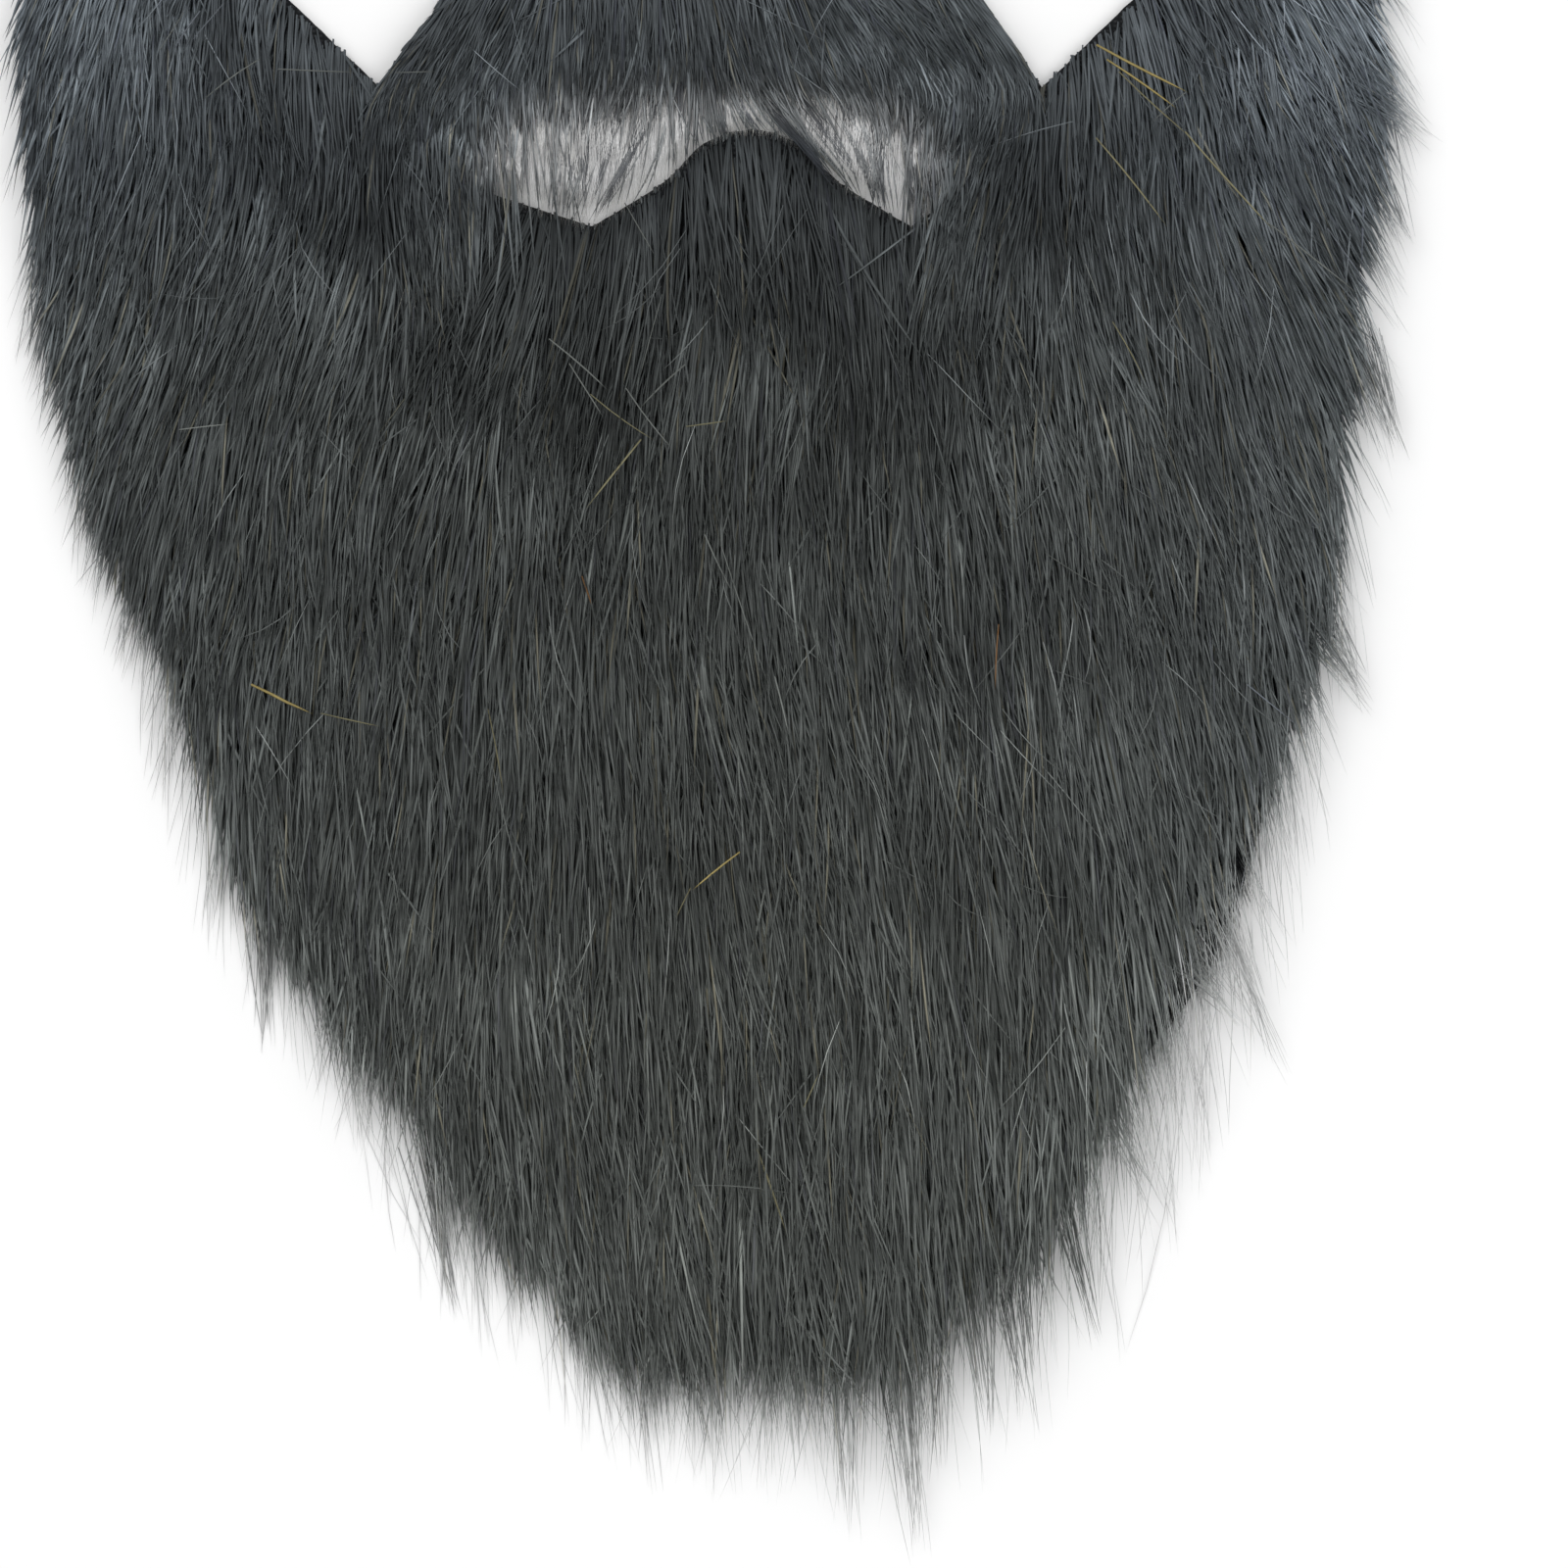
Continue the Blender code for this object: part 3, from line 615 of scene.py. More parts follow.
def walk(x, y, length, angle_at):
    """Paths of hairs as seen from above, from their roots on along an angle that may change."""
    px, py = np.zeros((2, len(x), FINE_STEPS))
    px[:, 0], py[:, 0] = x, y
    step = length / (FINE_STEPS - 1)
    for k in range(1, FINE_STEPS):
        angle = angle_at(px[:, k - 1], py[:, k - 1], k / (FINE_STEPS - 1))
        px[:, k] = px[:, k - 1] + step * np.sin(angle)
        py[:, k] = py[:, k - 1] - step * np.cos(angle)
    return px, py


def grow(x, y, across, table):
    """Paths, shades and lifts of the fur's own hairs, drawn together into locks."""
    count = len(x)
    lean = np.radians(CHANCE.normal(0, HAIR_LEAN, count))
    lean += np.radians(CHANCE.normal(0, FAR_LEAN, count)) * (CHANCE.random(count) < FAR_SHARE)
    length = read_table(HAIR_LENGTH, "length", pixel_at(x, y)[1]) * MM
    length = length * CHANCE.uniform(*LENGTH_RANGE, count)
    shade = np.ones(count)
    lift = CHANCE.uniform(*LIFT_RANGE, count)
    pulls = []
    for lock in LOCKS:
        centre, number, total = lock_of(x, y, lock.spacing)
        own = CHANCE.normal(0, 1, (4, total))[:, number]
        lean += np.radians(lock.lean) * own[0]
        length *= 1 + lock.length * own[1]
        shade *= np.exp(lock.shade * own[2])
        lift *= 1 + lock.lift * np.clip(own[3], -2, 1)
        pulls.append((centre - np.stack([x, y], axis=1), lock.pull))
    bend = np.radians(CHANCE.normal(0, HAIR_BEND, count))

    def angle_at(u, v, share):
        return lean_at(u, v, across, table) + lean + bend * (share - 0.5)

    px, py = walk(x, y, length, angle_at)
    drawn = np.linspace(0, 1, FINE_STEPS)[None, :] ** DRAW_POWER
    for offset, pull in pulls:
        px += offset[:, 0:1] * drawn * pull
        py += offset[:, 1:2] * drawn * pull
    return px, py, shade, lift


def hang_over_mouth(px, py, in_clumps):
    """How far each hair may reach over the mouth: a fringe in clumps, and some hang lower."""
    count = len(px)
    low = CHANCE.random(count) > 1 - LOW_SHARE
    lower = np.where(low, CHANCE.uniform(*LOW_HANG, count) * MM, 0.0)
    _, number, total = lock_of(px[:, 0], py[:, 0], FRINGE_CLUMP)
    clump = CLUMP_HANG * CHANCE.random(total)[number] ** CLUMP_POWER * CHANCE.random(count)
    share = CHANCE.uniform(*HANG_RANGE, count)[:, None]
    fringe = read_table(MOUTH_HANG, "hang", pixel_at(px, py)[0]) * MM * share
    return fringe + ((lower + clump)[:, None] if in_clumps else 0)


def kept_share(px, py, hang):
    """Share of each hair's length that is left inside the fur's edge and the cut edges."""
    count = len(px)
    loose = CHANCE.random(count)
    past = (loose - INNER_SHARE) / (1 - INNER_SHARE)
    longer = LONGEST_PAST * np.maximum(past, 0) ** THINNING
    slack = np.where(past < 0, past * INNER_SHARE, longer)
    reach = read_field("reach", px, py)
    over = read_field("past_edge", px, py) - slack[:, None] * reach
    spill = CHANCE.uniform(0.0, MOST_SPILL, count)[:, None]
    into_notch = read_field("in_notch", px, py) - spill
    into_mouth = read_field("in_mouth", px, py) - hang
    out = (over > 0) | (into_notch > 0) | (into_mouth > 0)
    out[:, :2] = False
    first = np.where(out.any(axis=1), out.argmax(axis=1), FINE_STEPS - 1)
    return first / (FINE_STEPS - 1)


def lay(px, py, kept, lift, radius):
    """Rings of hairs over the cloth and the fur below them, no steeper than a hair droops."""
    share = np.linspace(0, 1, FINE_STEPS)[None, :]
    ground = read_field("ground", px, py)
    height = np.maximum(read_field("height", px, py), 0)
    pz = ground + np.maximum(HAIR_SEAT, height * share**RISE_POWER * lift[:, None])
    for k in range(1, FINE_STEPS):
        step = np.hypot(px[:, k] - px[:, k - 1], py[:, k] - py[:, k - 1])
        pz[:, k] = np.maximum(pz[:, k], pz[:, k - 1] - DROOP_SLOPE * step)
    pz[:, 0] -= ROOT_SINK
    at = RINGS[None, :] * kept[:, None] * (FINE_STEPS - 1)
    low = np.minimum(at.astype(int), FINE_STEPS - 2)
    t = at - low
    every = np.arange(len(px))[:, None]
    points = [
        path[every, low] * (1 - t) + path[every, low + 1] * t
        for path in (px, py, pz)
    ]
    radii = radius[:, None] * THICKNESS_ALONG[None, :]
    points[2] = np.maximum(points[2], radii)
    return np.stack(points, axis=2), radii


def body_hairs(x, y, across, table, in_clumps=False):
    """The fur's own hairs from these roots: their points, radii and shades."""
    px, py, shade, lift = grow(x, y, across, table)
    kept = kept_share(px, py, hang_over_mouth(px, py, in_clumps))
    root_px = pixel_at(x, y)[0]
    over_lip = (root_px > LIP_PATCH[0]) & (root_px < LIP_PATCH[1])
    kept = np.where(over_lip, np.minimum(kept, passed_mouth(px, py)), kept)
    radius = HAIR_RADIUS * CHANCE.uniform(*RADIUS_RANGE, len(x))
    points, radii = lay(px, py, kept, lift, radius)
    past = read_field("past_edge", points[:, :, 0], points[:, :, 1])
    over = read_field("in_mouth", points[:, :, 0], points[:, :, 1])
    faint = smoothstep(np.maximum(past / WISP_PAST, over / WISP_OVER))
    radii *= 1 - faint * (1 - WISP_RADIUS / HAIR_RADIUS)
    return points, radii, shade


def tuft_hairs(tufts, radius, lengths):
    """Hairs drawn from around a root to around a point, for each row of a table."""
    paths = []
    for tuft in tufts:
        start = np.array(at_pixel(tuft.px, tuft.py))
        end = np.array(at_pixel(tuft.end_px, tuft.end_py))
        roots = start + CHANCE.normal(0, ROOT_SPREAD, (tuft.count, 2)) * tuft.spread * MM
        tips = end + CHANCE.normal(0, TIP_SPREAD, (tuft.count, 2)) * tuft.spread * MM
        tips = roots + (tips - roots) * CHANCE.uniform(*lengths, tuft.count)[:, None]
        bow = CHANCE.normal(0, TUFT_BOW, tuft.count)[:, None] * (tips - roots)[:, ::-1] * (1, -1)
        share = np.linspace(0, 1, FINE_STEPS)[None, :, None]
        straight = roots[:, None] * (1 - share) + tips[:, None] * share
        paths.append(straight + bow[:, None] * share * (1 - share))
    paths = np.concatenate(paths)
    count = len(paths)
    radius = radius * CHANCE.uniform(*RADIUS_RANGE, count)
    lift = CHANCE.uniform(*TUFT_LIFT, count)
    points, radii = lay(paths[:, :, 0], paths[:, :, 1], np.ones(count), lift, radius)
    return points, radii, np.exp(TUFT_SHADE * CHANCE.normal(0, 1, count))


def stray_hairs():
    """The single hairs of the table, which lie on the fur from end to end."""
    single = [Tuft(*stray[:4], count=1, spread=STRAY_SPREAD) for stray in STRAYS]
    points, radii, shade = tuft_hairs(single, STRAY_RADIUS, (1.0, 1.0))
    points[:, :, 2] = surface_at(points[:, :, 0], points[:, :, 1]) + HAIR_SEAT
    radii *= np.array([STRAY_WIDTHS[stray.colour] for stray in STRAYS])[:, None]
    return points, radii, shade


def surface_at(x, y):
    """Height of the fur's surface."""
    ground = read_field("ground", x, y)
    return ground + np.maximum(read_field("height", x, y), 0)


def loose_hairs(count):
    """Short fine hairs that lie across the fur at chance angles."""
    x, y = random_roots(count, lambda u, v: FIELDS["depth"] > LOOSE_DEPTH)
    turn = np.radians(CHANCE.normal(0, LOOSE_TURN, count))
    curl = np.radians(CHANCE.normal(0, LOOSE_CURL, count))

    def angle_at(u, v, share):
        return lean_at(u, v, BEARD_ACROSS, BEARD_LEAN) + turn + curl * share

    px, py = walk(x, y, CHANCE.uniform(*LOOSE_LENGTH, count) * MM, angle_at)
    kept = kept_share(px, py, np.zeros((count, 1)))
    radius = STRAY_RADIUS * CHANCE.uniform(*LOOSE_RADIUS, count)
    points, radii = lay(px, py, kept, np.ones(count), radius)
    share = CHANCE.uniform(*LOOSE_RISE, count)[:, None]
    rise = surface_at(points[:, :, 0], points[:, :, 1]) * share
    points[:, 1:, 2] = np.maximum(points[:, 1:, 2], rise[:, 1:])
    points[:, 0, 2] = np.maximum(points[:, 0, 2], LOOSE_ROOT_RISE * rise[:, 0])
    return points, radii, np.exp(LOOSE_SHADE * CHANCE.normal(0, 1, count))


def tone_at(x, y):
    """Colour by which the hair is multiplied at each place, bluer at the top and the sides."""
    px, py = pixel_at(x, y)
    bright = read_table(TONE_DOWN, "bright", py) * read_table(TONE_ACROSS, "bright", px)
    blue = read_table(TONE_DOWN, "blue", py) + read_table(TONE_ACROSS, "blue", px)
    return bright[..., None] * (1 + blue[..., None] * np.array(BLUE_SHIFT))


def painted_light_where_thin(x, y):
    """How much lighter the hair is painted where only a few hairs lie over the floor: painted
    light for the bright floor that shows through and around them.
    """
    past = read_field("past_edge", x, y) / read_field("reach", x, y)
    over = read_field("in_mouth", x, y) / PALE_MOUTH_DEPTH
    return 1 + FRINGE_PAINTED_LIGHT * smoothstep(past) + MOUTH_PAINTED_LIGHT * smoothstep(over)


def tinted(shade):
    """Colour of each of the fur's own hairs, drawn from the tints and its locks' own shade."""
    count = len(shade)
    shares = np.cumsum([tint.share for tint in TINTS])
    kind = np.searchsorted(shares / shares[-1], CHANCE.random(count))
    colours = np.array([tint.colour for tint in TINTS])[kind]
    spread = np.array([tint.spread for tint in TINTS])[kind]
    return colours * (shade * np.exp(spread * CHANCE.normal(0, 1, count)))[:, None]


def toned(points, own, painted_fill):
    """Colours of hairs at each of their rings, from their own, with painted fill light where other
    hair covers them and painted light where they lie thin over the floor.
    """
    x, y = points[:, :, 0], points[:, :, 1]
    covered = smoothstep(read_field("covered_for", x[:, :1], y[:, :1]) / BURIED_AFTER)
    whole = smoothstep((y[:, :1] - y[:, -1:]) / WHOLE_HAIR)
    over = smoothstep(0.5 + read_field("in_mouth", x, y) / PALE_MOUTH_DEPTH)
    # Painted fill light: lighter where other hair covers this hair and shades it
    along = 1 + (painted_fill - 1) * covered * whole * (1 - over)
    along *= EDGE_SHADE + (1 - EDGE_SHADE) * covered
    # Painted light where the hair lies thin over the bright floor
    painted_light_gain = painted_light_where_thin(x, y)[:, :, None]
    colours = own * along[:, :, None] * tone_at(x, y)
    grey = colours.mean(axis=2, keepdims=True)
    return np.minimum(grey * painted_light_gain + (colours - grey), PALEST)


def add_hairs(name, points, radii, colours, material):
    """One mesh of closed three-sided hairs, each from a flat root to a point."""
    count, stations = points.shape[:2]
    rings = stations - 1
    direction = np.gradient(points, axis=1)
    direction /= np.linalg.norm(direction, axis=2, keepdims=True)
    aside = np.where(abs(direction[:, :, 0:1]) > 0.9, [[[0.0, 0.0, 1.0]]], [[[1.0, 0.0, 0.0]]])
    across = np.cross(direction, aside)
    across /= np.linalg.norm(across, axis=2, keepdims=True)
    third = np.cross(direction, across)
    turn = CHANCE.uniform(0, 2 * math.pi, count)
    angle = turn[:, None] + np.arange(SIDES) * 2 * math.pi / SIDES
    cos, sin = np.cos(angle)[:, None, :, None], np.sin(angle)[:, None, :, None]
    spokes = cos * across[:, :-1, None, :] + sin * third[:, :-1, None, :]
    ring = points[:, :-1, None, :] + radii[:, :-1, None, None] * spokes
    corners = np.concatenate([ring.reshape(count, rings * SIDES, 3), points[:, -1:]], axis=1)
    per_hair = rings * SIDES + 1

    faces, places = hair_faces(rings)
    sizes = np.array([len(face) for face in faces])
    local = np.concatenate(faces)
    vertex = (local[None, :] + per_hair * np.arange(count)[:, None]).ravel()
    mesh = bpy.data.meshes.new(name)
    mesh.vertices.add(count * per_hair)
    mesh.vertices.foreach_set("co", corners.ravel())
    mesh.loops.add(len(vertex))
    mesh.loops.foreach_set("vertex_index", vertex)
    mesh.polygons.add(count * len(faces))
    starts = np.cumsum(np.tile(sizes, count)) - np.tile(sizes, count)
    mesh.polygons.foreach_set("loop_start", starts)
    mesh.polygons.foreach_set("use_smooth", np.ones(count * len(faces), bool))
    mesh.update(calc_edges=True)

    painted = np.ones((count, per_hair, 4))
    painted[:, :-1, :3] = np.repeat(colours[:, :-1], SIDES, axis=1)
    painted[:, -1, :3] = colours[:, -1]
    layer = mesh.color_attributes.new(name="hair_colour", type="FLOAT_COLOR", domain="POINT")
    layer.data.foreach_set("color", painted.ravel())

    across_count = math.ceil(math.sqrt(count))
    cell = np.stack(np.divmod(np.arange(count), across_count), axis=1)[:, ::-1]
    inset = UV_MARGIN + (1 - 2 * UV_MARGIN) * np.concatenate(places)[None, :, :]
    uv = (cell[:, None, :] + inset) / across_count
    mesh.uv_layers.new(name="OFBake").data.foreach_set("uv", uv.ravel())

    mesh.materials.append(material)
    return add_piece(name, mesh)


def add_piece(name, mesh):
    piece = bpy.data.objects.new(name, mesh)
    bpy.context.scene.collection.objects.link(piece)
    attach(piece, "root")
    return piece


def hair_faces(rings):
    """Faces of one hair as corner numbers, and each corner's place in the hair's own square."""
    faces, places = [], []
    height = RINGS * (1 - UV_MARGIN) + UV_MARGIN
    for j in range(rings - 1):
        for k in range(SIDES):
            n = (k + 1) % SIDES
            faces.append([j * SIDES + k, j * SIDES + n, (j + 1) * SIDES + n, (j + 1) * SIDES + k])
            left, right = k / SIDES, (k + 1) / SIDES
            places.append([(left, height[j]), (right, height[j]),
                           (right, height[j + 1]), (left, height[j + 1])])
    last = (rings - 1) * SIDES
    for k in range(SIDES):
        faces.append([last + k, last + (k + 1) % SIDES, rings * SIDES])
        left, right = k / SIDES, (k + 1) / SIDES
        places.append([(left, height[-2]), (right, height[-2]), ((left + right) / 2, 1.0)])
    faces.append([0, 2, 1])
    places.append([(0.0, 0.0), (0.16, 0.05), (0.33, 0.0)])
    return [np.array(face) for face in faces], [np.array(place) for place in places]


# Cloth

CLOTH_CELL = 3.0 * MM
CUT_STEP = 1.5 * MM
CUT_JITTER = 0.10 * MM

# Short ends of the cut knit: their length and depth under the cloth's top in millimetres, their
# lean as a slope, and how far inside the rim they root
THREAD_END_COUNT = 900
THREAD_END_LENGTH = (0.12, 0.32)
THREAD_END_RADIUS = 0.08 * MM
THREAD_END_DROP = (0.3, 1.5)
THREAD_END_LEAN = 0.8
THREAD_END_COLOUR = 0.03
THREAD_END_ROOT = 0.3 * MM


def cut_edge_points(loop):
    """Corners about every CUT_STEP round a loop, a little ragged as scissors leave knit."""
    made = []
    for a, b in zip(loop, loop[1:] + loop[:1]):
        a, b = np.array(a), np.array(b)
        count = max(1, round(float(np.linalg.norm(b - a)) / CUT_STEP))
        for k in range(count):
            made.append(a + (b - a) * k / count + CHANCE.uniform(-1, 1, 2) * CUT_JITTER)
    return [tuple(p) for p in made]


def build_ground_cloth(material):
    """The knitted cloth as one sheet with an upper side, a back and a cut rim."""
    thickness = float(cloth_height(FIELDS["cloth_top"], 0.0))
    loops = [cut_edge_points(loop) for loop in FIELDS["loops"]]
    points, edges = [], []
    for loop in loops:
        first = len(points)
        edges += [(first + k, first + (k + 1) % len(loop)) for k in range(len(loop))]
        points += loop
    xs = np.arange(CLOTH_LOW.x, CLOTH_HIGH.x, CLOTH_CELL)
    ys = np.arange(CLOTH_LOW.y, CLOTH_HIGH.y, CLOTH_CELL)
    gx, gy = (g.ravel() for g in np.meshgrid(xs, ys))
    deep = read_field("depth", gx, gy) > CUT_STEP
    points += [(float(x), float(y)) for x, y in zip(gx[deep], gy[deep])]
    flat, _, triangles, *_ = delaunay_2d_cdt([Vector(p) for p in points], edges, [], 0, 1e-7)
    corners = np.array([tuple(p) for p in flat])
    centres = np.array([corners[list(t)].mean(axis=0) for t in triangles])
    kept = inside_loops(loops, centres[:, 0], centres[:, 1])
    triangles = [t for t, good in zip(triangles, kept) if good]
    ways = {(t[k], t[(k + 1) % 3]) for t in triangles for k in range(3)}
    rim = [(a, b) for a, b in ways if (b, a) not in ways]
    top = cloth_height(FIELDS["cloth_top"], corners[:, 1])
    upper = np.column_stack([corners, top])
    lower = np.column_stack([corners, top - thickness])
    many = len(corners)
    faces = [tuple(t) for t in triangles]
    faces += [tuple(many + i for i in reversed(t)) for t in triangles]
    faces += [(b, a, many + a, many + b) for a, b in sorted(rim)]
    mesh = bpy.data.meshes.new("ground_cloth")
    mesh.from_pydata(np.concatenate([upper, lower]).tolist(), [], faces)
    mesh.validate()
    mesh.materials.append(material)
    area = float(sum(triangle_area(corners[list(t)]) for t in triangles))
    cloth = add_piece("ground_cloth", mesh)
    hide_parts("backing_cloth")
    return cloth, area, loops


def triangle_area(corners):
    a, b, c = corners
    return abs((b[0] - a[0]) * (c[1] - a[1]) - (b[1] - a[1]) * (c[0] - a[0])) / 2


def build_thread_ends(loops, material):
    """Short ends of the cut knit that stand out of the cloth's rim."""
    edges = [(a, b) for loop in loops for a, b in zip(loop, loop[1:] + loop[:1])]
    chosen = CHANCE.integers(0, len(edges), THREAD_END_COUNT)
    a = np.array([edges[i][0] for i in chosen])
    b = np.array([edges[i][1] for i in chosen])
    each = (THREAD_END_COUNT, 1)
    start = a + (b - a) * CHANCE.random(each)
    along = (b - a) / np.linalg.norm(b - a, axis=1, keepdims=True)
    out = np.stack([along[:, 1], -along[:, 0]], axis=1)
    deeper = read_field("depth", *(start + out * MM).T)
    out[deeper > read_field("depth", *start.T)] *= -1
    way = out + along * CHANCE.normal(0, THREAD_END_LEAN, each)
    length = CHANCE.uniform(*THREAD_END_LENGTH, each) * MM
    root = start - out * THREAD_END_ROOT
    flat = root[:, None] + (way * length)[:, None] * RINGS[None, :, None]
    top = cloth_height(FIELDS["cloth_top"], start[:, 1:])
    rise = top - CHANCE.uniform(*THREAD_END_DROP, each) * MM
    rise = np.repeat(rise, len(RINGS), axis=1)
    points = np.concatenate([flat, rise[:, :, None]], axis=2)
    radii = np.tile(THREAD_END_RADIUS * THICKNESS_ALONG, each)
    colours = np.full(points.shape, THREAD_END_COLOUR)
    return add_hairs("cut_thread_ends", points, radii, colours, material)


# Strap

STRAP_RIBS = 9
RIB_STEPS = 4
RIB_HEIGHT = 0.10 * MM
STRAP_STATION = 1.6 * MM
STITCH_ROOM = 0.18 * MM
STITCH_RADIUS = 0.16 * MM
STITCH_BOW = 0.06 * MM
STITCH_COLOUR = 0.035
TACK_STITCHES = 11
TACK_ROWS = 3
TACK_LENGTH = 6.0 * MM

# Place of the tacks on the band: shares along it from its middle, and across it
TACK_START = 0.98
TACK_LOW = 0.12
TACK_HIGH = 0.30
TACK_ROW_STEP = 0.27

Arc = namedtuple("Arc", "centre inner outer half_angle low high")


def strap_arc():
    """The band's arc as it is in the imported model."""
    corners = np.array([tuple(v.co) for v in NODES["elastic_strap"].data.vertices])
    highest = corners[:, 1].max()
    right = corners[corners[:, 0].argmax()]
    lowest = corners[(corners[:, 0] > 0) & (corners[:, 1] < corners[:, 1].min() + 0.01 * MM)][0]
    drop = highest - right[1]
    outer = (right[0] ** 2 + drop**2) / (2 * drop)
    inner = outer - math.hypot(right[0] - lowest[0], right[1] - lowest[1])
    half_angle = math.asin(right[0] / outer)
    return Arc(highest - outer, inner, outer, half_angle, corners[:, 2].min(), corners[:, 2].max())


def strap_place(arc, along, across):
    """Place on the band: along from -1 to 1 between its ends, across from 0 to 1."""
    angle = along * arc.half_angle
    radius = arc.inner + (arc.outer - arc.inner) * across
    return radius * np.sin(angle), arc.centre + radius * np.cos(angle)


def build_strap(material, thread):
    """A ribbed elastic band, and the tacks of thread at its ends, which are returned."""
    arc = strap_arc()
    stations = round(2 * arc.half_angle * arc.outer / STRAP_STATION)
    steps = STRAP_RIBS * RIB_STEPS
    across = np.linspace(0, 1, steps + 1)
    rib = RIB_HEIGHT * abs(np.sin(math.pi * STRAP_RIBS * across))
    high = arc.high - RIB_HEIGHT + rib
    low = arc.low + STITCH_ROOM + RIB_HEIGHT - rib
    ring = np.concatenate([np.stack([across, high], 1), np.stack([across[::-1], low[::-1]], 1)])
    size = len(ring)
    points = []
    for along in np.linspace(-1, 1, stations + 1):
        x, y = strap_place(arc, along, ring[:, 0])
        points.append(np.stack([x, y, ring[:, 1]], axis=1))
    faces = []
    for s in range(stations):
        near, far = s * size, (s + 1) * size
        for k in range(size):
            n = (k + 1) % size
            faces.append((near + k, near + n, far + n, far + k))
    last = stations * size
    for k in range(steps):
        faces.append((k + 1, k, size - 1 - k, size - 2 - k))
        faces.append((last + k, last + k + 1, last + size - 2 - k, last + size - 1 - k))
    mesh = bpy.data.meshes.new("elastic_band")
    mesh.from_pydata(np.concatenate(points).tolist(), [], faces)
    mesh.polygons.foreach_set("use_smooth", np.ones(len(faces), bool))
    mesh.materials.append(material)
    band = add_piece("elastic_band", mesh)
    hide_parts("elastic_strap")
    return build_tacks(arc, thread)


def build_tacks(arc, thread):
    """Zigzag stitches under both ends of the band, where it is sewn to the cloth."""
    paths = []
    half_stitch = TACK_LENGTH / (arc.half_angle * arc.outer) / TACK_STITCHES / 2
    bow = STITCH_BOW * np.sin(np.linspace(0, math.pi, len(RINGS)))
    z = arc.low + STITCH_ROOM + RIB_HEIGHT / 2 - bow
    for sign in (-1, 1):
        for k in range(TACK_STITCHES):
            for row in range(TACK_ROWS):
                start = TACK_START - half_stitch * (2 * k + row % 2)
                along = np.linspace(start, start - half_stitch, len(RINGS)) * sign
                across = np.linspace(TACK_LOW, TACK_HIGH, len(RINGS)) + TACK_ROW_STEP * row
                x, y = strap_place(arc, along, across)
                paths.append(np.stack([x, y, z], axis=1))
    points = np.array(paths)
    radii = np.full(points.shape[:2], STITCH_RADIUS)
    colours = np.full(points.shape, STITCH_COLOUR)
    return add_hairs("strap_stitches", points, radii, colours, thread)


# Materials

# Brightness and roughness of fibre, each between its lowest and its highest along the grain
FIBRE_DYE = (0.86, 1.14)
FIBRE_ROUGHNESS = (0.58, 0.82)
FUR_GRAIN = 4.0 * MM
THREAD_GRAIN = 0.6 * MM

# Knitted or woven cloth: its darkest and lightest colour, the spacing of its rows of loops in
# both directions, and their depth
Knit = namedtuple("Knit", "name dark light wale course depth")
# The ground knit's dark colours are partly its own black and partly painted shade, so that the
# cloth at the cut edges reads as the shade under the pile
GROUND_KNIT = Knit("ground_knit", (0.006, 0.007, 0.008), (0.030, 0.031, 0.034),
                   1.3 * MM, 0.9 * MM, 0.25 * MM)
WOVEN_ELASTIC = Knit("woven_elastic", (0.008, 0.008, 0.009), (0.024, 0.024, 0.027),
                     1.1 * MM, 0.7 * MM, 0.12 * MM)


def new_material(name):
    made = bpy.data.materials.new(name)
    made.use_nodes = True
    return made, made.node_tree, made.node_tree.nodes["Principled BSDF"]


def set_inputs(node, values):
    """Gives the node's inputs of these names these values."""
    for name, value in values.items():
        node.inputs[name].default_value = value


def fibre_material(name, grain_size):
    """Fibre in its own painted colour, with uneven dye and an uneven dull shine along it."""
    made, tree, shader = new_material(name)
    colour = tree.nodes.new("ShaderNodeVertexColor")
    colour.layer_name = "hair_colour"
    place = tree.nodes.new("ShaderNodeTexCoord")
    grain = tree.nodes.new("ShaderNodeTexNoise")
    set_inputs(grain, {"Scale": 1 / grain_size, "Detail": 3.0})
    tree.links.new(place.outputs["Object"], grain.inputs["Vector"])
    ranges = []
    for low, high in (FIBRE_DYE, FIBRE_ROUGHNESS):
        spread = tree.nodes.new("ShaderNodeMapRange")
        set_inputs(spread, {"From Min": 0.3, "From Max": 0.7, "To Min": low, "To Max": high})
        tree.links.new(grain.outputs["Fac"], spread.inputs["Value"])
        ranges.append(spread.outputs["Result"])
    dyed = tree.nodes.new("ShaderNodeVectorMath")
    dyed.operation = "SCALE"
    tree.links.new(colour.outputs["Color"], dyed.inputs[0])
    tree.links.new(ranges[0], dyed.inputs["Scale"])
    tree.links.new(dyed.outputs["Vector"], shader.inputs["Base Color"])
    tree.links.new(ranges[1], shader.inputs["Roughness"])
    set_inputs(shader, {"Specular IOR Level": 0.1})
    return made


